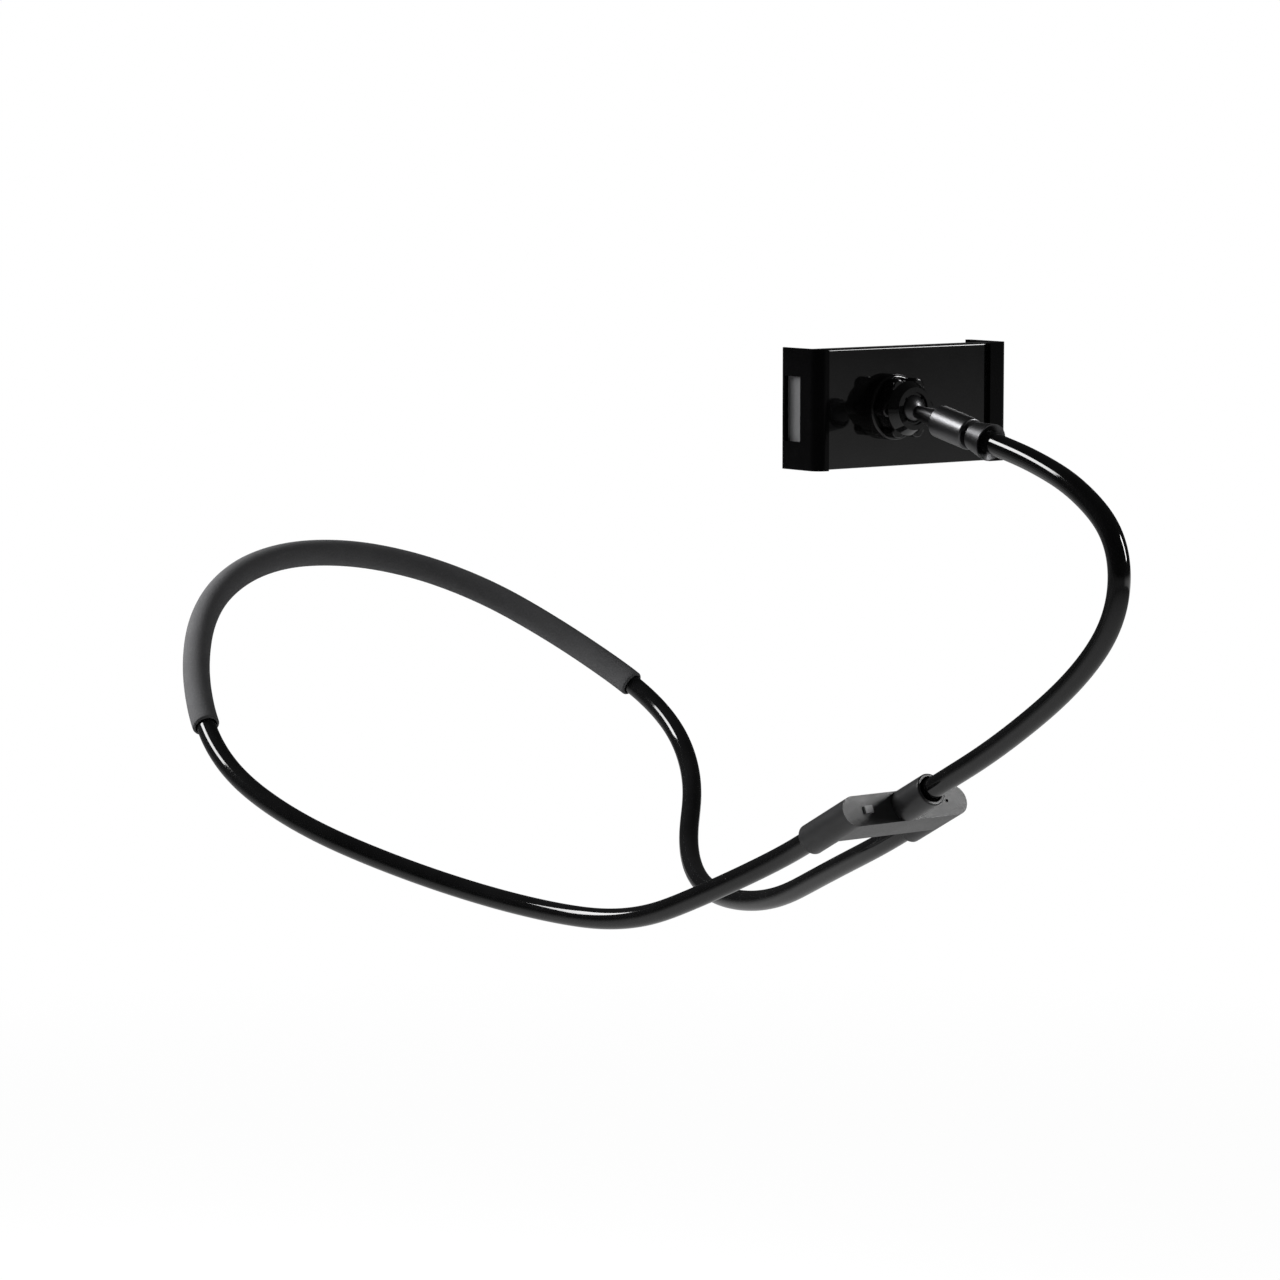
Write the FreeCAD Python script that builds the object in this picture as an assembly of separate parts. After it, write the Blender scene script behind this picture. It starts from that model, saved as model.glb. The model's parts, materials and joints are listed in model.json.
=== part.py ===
"""Neck phone holder: a gooseneck loop with a foam neck pad, a three-way connector,
a curved gooseneck arm and a spring clamp on a ball joint.

The frame is the wearer's: +Z up, the wearer faces -Y, and the origin is where the
middle of the neck pad meets the back of the neck. All sizes are in millimetres.
"""
import FreeCAD, Part
import math
import os

V = FreeCAD.Vector
SAME = 1e-6

# Gooseneck
TUBE_OD = 7.5
TUBE_WALL = 1.45
CORE_CLEARANCE = 0.1
SEAT_CLEARANCE = 0.1
ARC_SHARE = 0.45
CRIMP_LENGTH = 3.5
CORE_STICKS_OUT = 3.0

# Loop round the neck, from the left barrel to the right barrel: shares of its half width, reach and drop
LOOP_HALF_WIDTH = 109.0
LOOP_REACH = 360.0
LOOP_DROP = 116.5
LOOP_SHARES = [
    (-0.257, 0.801, 0.82), (-0.307, 0.692, 0.961), (-0.408, 0.565, 0.957),
    (-0.606, 0.436, 0.871), (-0.812, 0.314, 0.738), (-0.881, 0.203, 0.571),
    (-0.766, 0.106, 0.322), (-0.528, 0.025, 0.107), (-0.17, -0.018, -0.004),
    (0.243, -0.01, 0.009), (0.61, 0.043, 0.129), (0.876, 0.133, 0.339),
    (1, 0.242, 0.536), (0.885, 0.339, 0.725), (0.61, 0.425, 0.918),
    (0.404, 0.54, 1), (0.312, 0.678, 0.966), (0.243, 0.8, 0.803),
]
LOOP_EXIT = 16.0
PAD_OD = 10.5
PAD_GAP = 0.45
PAD_LENGTH = 286.0

# Connector: two loop barrels behind a web, one arm barrel in front of it
CONNECTOR_DROP = 59.0
CONNECTOR_RISE = 28.0
BARREL_SPACING = 44.0
BARREL_OD = 11.0
BARREL_LENGTH = 27.5
BARREL_FLOOR = 3.0
WEB_DEPTH = 14.5
ARM_BARREL_OD = 11.6
ARM_BARREL_LENGTH = 15.2
ARM_SEAT_DEPTH = 8.0
MOUTH_GAP = 0.95
MOUTH_DEPTH = 5.0
MOUTH_EDGE = 1.0
PLUG_WIDTH = 3.4
PLUG_HEIGHT = 2.6
PLUG_LENGTH = 3.4
PLUG_STANDS_OUT = 0.9
PLUG_OFFSET = 5.2
VENT_HOLE = 1.2
VENT_OFFSET = 3.3
VENT_DEPTH = 2.0

# Arm, in the plane X = 0, from the connector to the stem: shares of its reach and of the ball's rise
ARM_REACH = 105.0
BALL_RISE = 135.5
BALL_LEAD = 0.7
ARM_SHARES = [(0.819, 0.38), (1, 0.55), (0.995, 0.731), (0.81, 0.841)]
ARM_EXIT = 39.4
STEM_EXIT = 21.7

# Ball joint and swivelling stem, measured along the stem from the ball's centre
STEM_DROOP = 12.5
BALL_OD = 10.0
NECK_OD = 4.4
NECK_BASE_OD = 7.4
STEM_OD = 11.0
STEM_START = 16.1
STEM_LENGTH = 16.4
STEM_EDGE = 0.7
STUD_DEPTH = 7.0
STUD_CLEARANCE = 0.05
SWIVEL_GROOVE = 2.1
SPIGOT_OD = 6.0
SPIGOT_LENGTH = 7.0
SWIVEL_CLEARANCE = 0.05
FACE_GAP = 0.3
SWIVEL_WEB = 1.5
SCREW_HEAD_OD = 4.8
SCREW_HEAD_HEIGHT = 1.5
SCREW_OD = 2.5
SCREW_IN_SPIGOT = 5.5
RING_LENGTH = 7.8
RING_SMALL_OD = 9.8
RING_LARGE_OD = 12.6
RING_LIP = 0.3
RING_FLOOR = 0.8
RING_FLARE = 1.8

# Ball socket and lock nut, measured outwards from the clamp's back
BALL_STANDOFF = 10.7
BALL_CLEARANCE = 0.1
SOCKET_BASE_OD = 22.4
SOCKET_BASE_HEIGHT = 4.6
SOCKET_BASE_EDGE = 1.0
COLLET_WALL = 1.1
COLLET_PAST_BALL = 2.3
COLLET_LIP_RADIUS = 4.2
COLLET_FLARE = 0.5
COLLET_FLARE_DEPTH = 0.8
COLLET_SLOT = 1.0
COLLET_SLOT_START = 7.0
COLLET_SLOTS = 4
NUT_CLEARANCE = 0.1
NUT_GAP = 0.5
NUT_WALL = 0.95
NUT_LIP = 0.7
NUT_LIP_HEIGHT = 0.4
NUT_BODY_INSET = 2.0
NUT_GRIP_HEIGHT = 5.4
NUT_LOBES = 6
NUT_LOBE_OD = 5.4
NUT_LOBE_INSET = 0.1
NUT_EDGE = 0.6
SOCKET_SCREWS = 3
SOCKET_SCREW_INSET = 3.0
SOCKET_SCREW_DEPTH = 3.4

# Clamp: housing, fixed jaw on the right, sliding jaw on the left
CLAMP_WIDTH = 85.0
BALL_OFFSET = 9.5
HOUSING_HEIGHT = 40.5
HOUSING_DEPTH = 5.4
BACK_WALL = 1.4
SIDE_WALL = 1.6
END_WALL = 4.0
HOUSING_TOP_ROUND = 0.6
HOUSING_LOW_ROUND = 0.4
PLATE_THICKNESS = 1.2
FRONT_PAD_THICKNESS = 1.0
FRONT_PAD_MARGIN = 6.5
FRONT_PAD_SIDE = 2.2
FRONT_PAD_CORNER = 2.0
POST_OD = 4.0
POST_INSET = 0.2
SMALL_SCREW_OD = 1.6
SMALL_HEAD_OD = 3.0
SMALL_HEAD_HEIGHT = 0.9
RECESS_LENGTH = 1.9
RECESS_WIDTH = 0.5
RECESS_DEPTH = 0.5
PLATE_SCREW_DEPTH = 3.2
JAW_SHEET = 1.6
JAW_HEIGHT = 41.0
JAW_DEPTH = 19.6
JAW_LIP = 8.0
JAW_LIP_HEIGHT = 34.0
JAW_CORNER = 4.0
FIXED_JAW_CORNER = 2.2
LIP_CORNER = 1.8
JAW_GAP = 0.4
JAW_BACK_GAP = 0.3
SLIDING_FLANGE = 5.2
FIXED_FLANGE = 7.5
JAW_PAD_THICKNESS = 5.0
JAW_PAD_HEIGHT = 38.0
JAW_PAD_GAP = 0.3
JAW_PAD_CORNER = 1.2
WINDOW_HEIGHT = 22.0
WINDOW_WIDTH = 8.3
WINDOW_FROM_FRONT = 2.2
JAW_SCREW_SPACING = 26.0
JAW_SCREW_LENGTH = 4.2

# Slide: tongue, carriage, guide rods and return springs inside the housing
TONGUE_THICKNESS = 2.0
TONGUE_HEIGHT = 16.0
TONGUE_GAP = 0.3
CARRIAGE_FROM_END = 40.0
CARRIAGE_LENGTH = 6.0
CARRIAGE_HEIGHT = 30.0
CARRIAGE_THICKNESS = 3.2
ROD_OD = 2.0
ROD_SPACING = 24.0
ROD_SEAT = 0.9
ROD_CLEARANCE = 0.05
SPRING_OD = 3.4
SPRING_WIRE = 0.45
SPRING_TURNS = 18
SPRING_GAP = 0.2


def frame_on(origin, x_axis, z_axis):
    """Placement whose local Z and X lie along the given directions."""
    return FreeCAD.Placement(origin, FreeCAD.Rotation(x_axis, z_axis.cross(x_axis), z_axis, "ZXY"))


def cylinder(radius, low, high, x=0.0, y=0.0):
    """Cylinder along local Z between two heights."""
    return Part.makeCylinder(radius, high - low, V(x, y, low))


def box(low, high):
    """Box between two opposite corners."""
    size = high - low
    return Part.makeBox(size.x, size.y, size.z, low)


def turned(profile):
    """Solid turned about local Z from (radius, height) corners, in order."""
    corners = [V(radius, 0, height) for radius, height in profile]
    face = Part.Face(Part.makePolygon(corners + corners[:1]))
    return face.revolve(V(0, 0, 0), V(0, 0, 1), 360)


def rounded_box(low, high, direction, radius, at=None):
    """Box with its edges along one direction rounded, or only those at one X."""
    body = box(low, high)
    picked = []
    for edge in body.Edges:
        along = abs(edge.tangentAt(edge.FirstParameter).dot(direction)) > 0.99
        if along and (at is None or abs(edge.CenterOfMass.x - at) < SAME):
            picked.append(edge)
    return body.makeFillet(radius, picked)


def circle_edges(shape, radius, height):
    """Full circular edges of one radius at one local height."""
    found = []
    for edge in shape.Edges:
        round_edge = isinstance(edge.Curve, Part.Circle) and abs(edge.Curve.Radius - radius) < SAME
        if round_edge and abs(edge.CenterOfMass.z - height) < SAME:
            found.append(edge)
    return found


def rounded_path(points):
    """Straight runs joined by tangent arcs, each as large as its two runs allow."""
    edges = []
    start = points[0]
    for before, corner, after in zip(points, points[1:], points[2:]):
        back = before - corner
        ahead = after - corner
        half_turn = (math.pi - back.getAngle(ahead)) / 2
        reach = ARC_SHARE * min(back.Length, ahead.Length)
        radius = reach / math.tan(half_turn)
        back.normalize()
        ahead.normalize()
        inward = (back + ahead).normalize()
        entry = corner + back * reach
        middle = corner + inward * (radius / math.cos(half_turn) - radius)
        leave = corner + ahead * reach
        edges.append(Part.LineSegment(start, entry).toShape())
        edges.append(Part.Arc(entry, middle, leave).toShape())
        start = leave
    edges.append(Part.LineSegment(start, points[-1]).toShape())
    return edges


def part_of_path(edges, first, last):
    """The stretch of a path between two lengths from its start."""
    kept = []
    done = 0.0
    for edge in edges:
        low = max(first - done, 0.0)
        high = min(last - done, edge.Length)
        if high - low > SAME:
            ends = [edge.getParameterByLength(low), edge.getParameterByLength(high)]
            kept.append(edge.Curve.toShape(*ends))
        done += edge.Length
    return kept


def lengthened(edges, start_dir, end_dir, length):
    """A path with a straight stub added at each end."""
    first = edges[0].valueAt(edges[0].FirstParameter)
    last = edges[-1].valueAt(edges[-1].LastParameter)
    head = Part.LineSegment(first + start_dir * length, first).toShape()
    tail = Part.LineSegment(last, last + end_dir * length).toShape()
    return [head] + edges + [tail]


def rod_along(edges, radius):
    """Round rod swept along a path."""
    first = edges[0]
    start = first.valueAt(first.FirstParameter)
    section = Part.Wire(Part.makeCircle(radius, start, first.tangentAt(first.FirstParameter)))
    return Part.Wire(edges).makePipeShell([section], True, False)


def tube_along(edges, outer, inner):
    """Round tube swept along a path."""
    return rod_along(edges, outer).cut(rod_along(edges, inner))


def path_length(edges):
    return sum(edge.Length for edge in edges)


# Values that follow from the sizes above
TUBE_R = TUBE_OD / 2
SEAT_R = TUBE_R + SEAT_CLEARANCE
MOUTH_R = TUBE_R + MOUTH_GAP
TUBE_BORE_R = TUBE_R - TUBE_WALL
CORE_R = TUBE_BORE_R - CORE_CLEARANCE
BARREL_X = BARREL_SPACING / 2
LOOP_END = -BARREL_FLOOR - CRIMP_LENGTH
ARM_START = CRIMP_LENGTH - ARM_SEAT_DEPTH

RISE = math.radians(CONNECTOR_RISE)
CONNECTOR_AXIS = V(0, -math.cos(RISE), math.sin(RISE))
CONNECTOR_FACE = V(0, -LOOP_REACH, -CONNECTOR_DROP)
CONNECTOR = frame_on(CONNECTOR_FACE, V(1, 0, 0), CONNECTOR_AXIS)

BALL = CONNECTOR_FACE + V(0, -BALL_LEAD, BALL_RISE)
DROOP = math.radians(STEM_DROOP)
STEM_AXIS = V(0, -math.cos(DROOP), -math.sin(DROOP))
STEM = frame_on(BALL, V(1, 0, 0), STEM_AXIS)
STEM_END = STEM_START + STEM_LENGTH
RING_START = STEM_END + SWIVEL_GROOVE
RING_END = RING_START + RING_LENGTH
SEAT_START = RING_START + RING_FLOOR
ARM_END = SEAT_START + CRIMP_LENGTH
SPIGOT_START = RING_START - SPIGOT_LENGTH
WEB_END = SPIGOT_START - FACE_GAP
WEB_START = WEB_END - SWIVEL_WEB
HEAD_END = WEB_START - FACE_GAP
HEAD_START = HEAD_END - SCREW_HEAD_HEIGHT

CLAMP = frame_on(BALL + V(0, BALL_STANDOFF, 0), V(1, 0, 0), V(0, -1, 0))
CLAMP_LEFT = BALL_OFFSET - CLAMP_WIDTH / 2
CLAMP_RIGHT = BALL_OFFSET + CLAMP_WIDTH / 2
HOUSING_LEFT = CLAMP_LEFT + JAW_SHEET + JAW_GAP
HOUSING_RIGHT = CLAMP_RIGHT - JAW_SHEET
HOUSING_TOP = HOUSING_HEIGHT / 2
CAVITY_LEFT = HOUSING_LEFT + SIDE_WALL
CAVITY_RIGHT = HOUSING_RIGHT - END_WALL
CAVITY_TOP = HOUSING_TOP - SIDE_WALL
PLATE_FACE = -HOUSING_DEPTH - PLATE_THICKNESS
FRONT_PAD_FACE = PLATE_FACE - FRONT_PAD_THICKNESS
SLIDE_LEVEL = -(BACK_WALL + HOUSING_DEPTH) / 2
SOCKET_R = SOCKET_BASE_OD / 2
COLLET_R = BALL_OD / 2 + BALL_CLEARANCE + COLLET_WALL
COLLET_TOP = BALL_STANDOFF + COLLET_PAST_BALL
NUT_BORE_R = COLLET_R + NUT_CLEARANCE
NUT_START = SOCKET_BASE_HEIGHT + NUT_GAP
NUT_LIP_START = COLLET_TOP + FACE_GAP
NUT_END = NUT_LIP_START + NUT_LIP_HEIGHT
NUT_R = SOCKET_R - NUT_BODY_INSET
LOBE_R = NUT_LOBE_OD / 2
LOBE_SPOT = SOCKET_R - NUT_LOBE_INSET - LOBE_R
POST_X = [CAVITY_LEFT + POST_OD / 2 - POST_INSET, CAVITY_RIGHT - POST_OD / 2 + POST_INSET]
POST_Y = [sign * (CAVITY_TOP - POST_OD / 2 + POST_INSET) for sign in (-1, 1)]
POST_SPOTS = [(x, y) for x in POST_X for y in POST_Y]
ROD_Y = [sign * ROD_SPACING / 2 for sign in (-1, 1)]
CARRIAGE_LEFT = CAVITY_LEFT + CARRIAGE_FROM_END


def on_connector(shape):
    shape.Placement = CONNECTOR.multiply(shape.Placement)
    return shape


def on_stem(shape):
    shape.Placement = STEM.multiply(shape.Placement)
    return shape


def on_clamp(shape):
    shape.Placement = CLAMP.multiply(shape.Placement)
    return shape


def socket_screw_spots():
    """Centres of the socket's screws, clear of the tongue's middle."""
    spots = []
    for index in range(SOCKET_SCREWS):
        angle = 2 * math.pi * index / SOCKET_SCREWS + math.pi / 2
        radius = SOCKET_R - SOCKET_SCREW_INSET
        spots.append((radius * math.cos(angle), radius * math.sin(angle)))
    return spots


def countersunk(head_face, direction, length, recessed):
    """Flat-headed screw along local Z, its head's face at one height, with or without its cross recess."""
    head_r = SMALL_HEAD_OD / 2
    shank_r = SMALL_SCREW_OD / 2
    under = head_face + direction * SMALL_HEAD_HEIGHT
    tip = head_face + direction * length
    screw = turned([(0, head_face), (head_r, head_face), (shank_r, under), (shank_r, tip), (0, tip)])
    if recessed:
        levels = sorted([head_face, head_face + direction * RECESS_DEPTH])
        long = RECESS_LENGTH / 2
        short = RECESS_WIDTH / 2
        for x, y in ((long, short), (short, long)):
            screw = screw.cut(box(V(-x, -y, levels[0]), V(x, y, levels[1])))
    return screw


def socket_screws(recessed):
    """Flat-headed screws from inside the housing into the socket's base."""
    screws = []
    for x, y in socket_screw_spots():
        screw = countersunk(-BACK_WALL, 1, BACK_WALL + SOCKET_SCREW_DEPTH, recessed)
        screw.translate(V(x, y, 0))
        screws.append(screw)
    return screws


def loop_path():
    """The loop's path, from inside the left barrel to inside the right one."""
    ends = []
    for x in (-BARREL_X, BARREL_X):
        ends.append(CONNECTOR.multVec(V(x, 0, LOOP_END)))
        ends.append(CONNECTOR.multVec(V(x, 0, -BARREL_LENGTH - LOOP_EXIT)))
    route = [V(x * LOOP_HALF_WIDTH, -y * LOOP_REACH, -z * LOOP_DROP) for x, y, z in LOOP_SHARES]
    return rounded_path(ends[:2] + route + [ends[3], ends[2]])


def arm_path():
    """The arm's path, from inside the connector to inside the end ring."""
    start = [V(0, 0, ARM_START), V(0, 0, ARM_BARREL_LENGTH + ARM_EXIT)]
    end = [V(0, 0, RING_END + STEM_EXIT), V(0, 0, ARM_END)]
    route = [CONNECTOR_FACE + V(0, -y * ARM_REACH, z * BALL_RISE) for y, z in ARM_SHARES]
    return rounded_path([CONNECTOR.multVec(p) for p in start] + route + [STEM.multVec(p) for p in end])


def crimp(low, high):
    """Metal cup pressed on a core wire's end."""
    return cylinder(TUBE_R, low, high).cut(cylinder(CORE_R + CORE_CLEARANCE, low, high))


def loop_parts():
    """Sleeve, core wire and pad of the loop, and the crimps on its ends."""
    path = loop_path()
    core = lengthened(path, CONNECTOR_AXIS, CONNECTOR_AXIS, CORE_STICKS_OUT)
    margin = (path_length(path) - PAD_LENGTH) / 2
    covered = part_of_path(path, margin, margin + PAD_LENGTH)
    crimps = [crimp(LOOP_END, LOOP_END + CRIMP_LENGTH) for _ in range(2)]
    crimps[0].translate(V(-BARREL_X, 0, 0))
    crimps[1].translate(V(BARREL_X, 0, 0))
    return {
        "loop_sleeve": tube_along(path, TUBE_R, TUBE_BORE_R),
        "loop_core_wire": rod_along(core, CORE_R),
        "neck_pad": tube_along(covered, PAD_OD / 2, TUBE_R + PAD_GAP),
        "loop_end_crimps": on_connector(Part.makeCompound(crimps)),
    }


def arm_parts():
    """Sleeve and core wire of the arm, and the crimps on its ends."""
    path = arm_path()
    core = lengthened(path, CONNECTOR_AXIS * -1, STEM_AXIS * -1, CORE_STICKS_OUT)
    return {
        "arm_sleeve": tube_along(path, TUBE_R, TUBE_BORE_R),
        "arm_core_wire": rod_along(core, CORE_R),
        "arm_base_crimp": on_connector(crimp(ARM_START - CRIMP_LENGTH, ARM_START)),
        "arm_end_crimp": on_stem(crimp(SEAT_START, ARM_END)),
    }


def plug_block(clearance):
    """Small plug that closes a slot in the connector's face, or its slot with a clearance."""
    x = PLUG_OFFSET - BARREL_X
    half_width = PLUG_WIDTH / 2 + clearance
    half_height = PLUG_HEIGHT / 2 + clearance
    low = V(x - half_width, -half_height, PLUG_STANDS_OUT - PLUG_LENGTH - clearance)
    return box(low, V(x + half_width, half_height, PLUG_STANDS_OUT))


def mouth_bore(floor, mouth):
    """Seat for a tube's end, widened near its mouth."""
    step = MOUTH_DEPTH if mouth > floor else -MOUTH_DEPTH
    profile = [(0, floor), (SEAT_R, floor), (SEAT_R, mouth - step), (MOUTH_R, mouth - step / 2)]
    return turned(profile + [(MOUTH_R, mouth), (0, mouth)])


def connector_parts():
    """Three-way connector and the plug pressed into its face."""
    barrel_r = BARREL_OD / 2
    arm_r = ARM_BARREL_OD / 2
    body = box(V(-BARREL_X, -barrel_r, -WEB_DEPTH), V(BARREL_X, barrel_r, 0))
    for x in (-BARREL_X, BARREL_X):
        barrel = cylinder(barrel_r, -BARREL_LENGTH, 0, x)
        barrel = barrel.makeChamfer(MOUTH_EDGE, circle_edges(barrel, barrel_r, -BARREL_LENGTH))
        body = body.fuse(barrel)
    stub = cylinder(arm_r, -WEB_DEPTH / 2, ARM_BARREL_LENGTH)
    stub = stub.makeFillet(MOUTH_EDGE / 2, circle_edges(stub, arm_r, ARM_BARREL_LENGTH))
    body = body.fuse(stub.common(box(V(-arm_r, -arm_r, 0), V(arm_r, arm_r, ARM_BARREL_LENGTH))))
    body = body.removeSplitter()
    for x in (-BARREL_X, BARREL_X):
        bore = mouth_bore(-BARREL_FLOOR, -BARREL_LENGTH)
        bore.translate(V(x, 0, 0))
        body = body.cut(bore)
    body = body.cut(mouth_bore(-ARM_SEAT_DEPTH, ARM_BARREL_LENGTH))
    body = body.cut(plug_block(SEAT_CLEARANCE))
    body = body.cut(cylinder(VENT_HOLE / 2, -VENT_DEPTH, 0, BARREL_X - VENT_OFFSET))
    return {
        "connector_body": on_connector(body),
        "slot_plug": on_connector(plug_block(0)),
    }


def end_ring_parts():
    """Flared ring on the arm's end, its spigot and the screw that keeps the swivel together."""
    small_r = RING_SMALL_OD / 2
    large_r = RING_LARGE_OD / 2
    spigot_r = SPIGOT_OD / 2
    flare = RING_END - RING_FLARE
    ring = turned([
        (0, SPIGOT_START), (spigot_r, SPIGOT_START), (spigot_r, RING_START), (small_r, RING_START),
        (large_r, RING_END), (large_r - RING_LIP, RING_END), (SEAT_R, flare), (SEAT_R, SEAT_START),
        (0, SEAT_START),
    ])
    screw_r = SCREW_OD / 2
    screw_tip = SPIGOT_START + SCREW_IN_SPIGOT
    ring = ring.cut(cylinder(screw_r + STUD_CLEARANCE, SPIGOT_START, screw_tip + FACE_GAP))
    head = cylinder(SCREW_HEAD_OD / 2, HEAD_START, HEAD_END)
    screw = head.fuse(cylinder(screw_r, HEAD_END, screw_tip))
    return {"arm_end_ring": on_stem(ring), "swivel_screw": on_stem(screw)}


def stem_parts():
    """Swivelling stem sleeve and the ball stud seated in it."""
    stem_r = STEM_OD / 2
    neck_r = NECK_OD / 2
    sleeve = cylinder(stem_r, STEM_START, STEM_END)
    rims = circle_edges(sleeve, stem_r, STEM_START) + circle_edges(sleeve, stem_r, STEM_END)
    sleeve = sleeve.makeFillet(STEM_EDGE, rims)
    stud_end = STEM_START + STUD_DEPTH
    sleeve = sleeve.cut(cylinder(neck_r + STUD_CLEARANCE, STEM_START, stud_end + FACE_GAP))
    sleeve = sleeve.cut(cylinder(SCREW_HEAD_OD / 2 + FACE_GAP, stud_end + FACE_GAP, WEB_START))
    sleeve = sleeve.cut(cylinder(SCREW_OD / 2 + SWIVEL_CLEARANCE, WEB_START, WEB_END))
    sleeve = sleeve.cut(cylinder(SPIGOT_OD / 2 + SWIVEL_CLEARANCE, WEB_END, STEM_END))
    ball_r = BALL_OD / 2
    stud = Part.makeSphere(ball_r).fuse(cylinder(neck_r, 0, stud_end))
    stud = stud.fuse(Part.makeCone(neck_r, NECK_BASE_OD / 2, STEM_START - ball_r, V(0, 0, ball_r)))
    return {"stem_sleeve": on_stem(sleeve), "ball_stud": on_stem(stud)}


def socket_parts():
    """Slotted ball socket, its screws and the lobed nut that tightens it."""
    base = cylinder(SOCKET_R, 0, SOCKET_BASE_HEIGHT)
    base = base.makeFillet(SOCKET_BASE_EDGE, circle_edges(base, SOCKET_R, SOCKET_BASE_HEIGHT))
    socket = base.fuse(cylinder(COLLET_R, 0, COLLET_TOP))
    ball_space = Part.makeSphere(BALL_OD / 2 + BALL_CLEARANCE, V(0, 0, BALL_STANDOFF))
    flare_start = COLLET_TOP - COLLET_FLARE_DEPTH
    lip = COLLET_LIP_RADIUS
    opening = turned([
        (0, BALL_STANDOFF), (lip, BALL_STANDOFF), (lip, flare_start), (lip + COLLET_FLARE, COLLET_TOP),
        (0, COLLET_TOP),
    ])
    socket = socket.cut(ball_space).cut(opening)
    for index in range(COLLET_SLOTS // 2):
        half = COLLET_SLOT / 2
        slot = box(V(-COLLET_R, -half, COLLET_SLOT_START), V(COLLET_R, half, COLLET_TOP))
        slot.rotate(V(0, 0, 0), V(0, 0, 1), 45 + 360 * index / COLLET_SLOTS)
        socket = socket.cut(slot)
    for screw in socket_screws(False):
        socket = socket.cut(screw)
    grip_end = NUT_START + NUT_GRIP_HEIGHT
    nut = cylinder(NUT_R, NUT_START, grip_end)
    for index in range(NUT_LOBES):
        angle = 2 * math.pi * index / NUT_LOBES
        lobe = cylinder(LOBE_R, NUT_START, grip_end, LOBE_SPOT * math.cos(angle), LOBE_SPOT * math.sin(angle))
        rims = circle_edges(lobe, LOBE_R, NUT_START) + circle_edges(lobe, LOBE_R, grip_end)
        nut = nut.fuse(lobe.makeFillet(NUT_EDGE, rims))
    nose = [(0, grip_end), (NUT_R, grip_end), (NUT_BORE_R + NUT_WALL, NUT_END), (0, NUT_END)]
    nut = nut.fuse(turned(nose)).removeSplitter()
    nut = nut.cut(cylinder(NUT_BORE_R, NUT_START, NUT_LIP_START))
    nut = nut.cut(cylinder(NUT_BORE_R - NUT_LIP, NUT_LIP_START, NUT_END))
    return {
        "ball_socket": on_clamp(socket),
        "socket_screws": on_clamp(Part.makeCompound(socket_screws(True))),
        "lock_nut": on_clamp(nut),
    }


def jaw_shell(corner, flange, back):
    """Bent sheet of a jaw, with its outer face at X = 0 and the clamp's middle at +X."""
    half = JAW_HEIGHT / 2
    front = back - JAW_DEPTH
    reach = max(flange, JAW_LIP)
    up = V(0, 1, 0)
    outer = rounded_box(V(0, -half, front), V(reach, half, back), up, min(corner, LIP_CORNER), at=0)
    if corner > LIP_CORNER:
        block = rounded_box(V(0, -half, front - corner), V(reach, half, back), up, corner, at=0)
        outer = outer.common(block)
    sheet = JAW_SHEET
    low = V(sheet, -half, front + sheet)
    high = V(reach + sheet, half, back - sheet)
    inner = rounded_box(low, high, up, min(corner, LIP_CORNER) - sheet, at=sheet)
    if corner > LIP_CORNER:
        lower = V(sheet, -half, front - corner)
        inner = inner.common(rounded_box(lower, high, up, corner - sheet, at=sheet))
    shell = outer.cut(inner)
    middle = (front + back) / 2
    shell = shell.cut(box(V(flange, -half, middle), V(reach + sheet, half, back)))
    shell = shell.cut(box(V(JAW_LIP, -half, front), V(reach + sheet, half, middle)))
    for low, high in ((-half, -JAW_LIP_HEIGHT / 2), (JAW_LIP_HEIGHT / 2, half)):
        shell = shell.cut(box(V(LIP_CORNER, low, front), V(reach, high, middle)))
    return shell


def jaw_pad(back):
    """Foam block on the inside of a jaw, in the jaw's own place."""
    half = JAW_PAD_HEIGHT / 2
    low = V(JAW_SHEET, -half, back - JAW_DEPTH + LIP_CORNER)
    high = V(JAW_SHEET + JAW_PAD_THICKNESS, half, FRONT_PAD_FACE - JAW_PAD_GAP)
    return rounded_box(low, high, V(0, 0, 1), JAW_PAD_CORNER, at=high.x)


def mirrored_to_right(shape):
    """A jaw piece turned over to the clamp's right end."""
    flipped = shape.mirror(V(0, 0, 0), V(1, 0, 0))
    flipped.translate(V(CLAMP_RIGHT, 0, 0))
    return flipped


def jaw_screws(recessed):
    """Flat-headed screws through the fixed jaw into the housing's end wall."""
    screws = []
    for side in (-1, 1):
        screw = countersunk(0, -1, JAW_SCREW_LENGTH, recessed)
        screw.rotate(V(0, 0, 0), V(0, 1, 0), 90)
        screw.translate(V(CLAMP_RIGHT, side * JAW_SCREW_SPACING / 2, SLIDE_LEVEL))
        screws.append(screw)
    return screws


def slide_bar(left, right, height, thickness):
    """Flat bar along X in the middle of the housing's cavity."""
    low = V(left, -height / 2, SLIDE_LEVEL - thickness / 2)
    return box(low, V(right, height / 2, SLIDE_LEVEL + thickness / 2))


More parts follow.
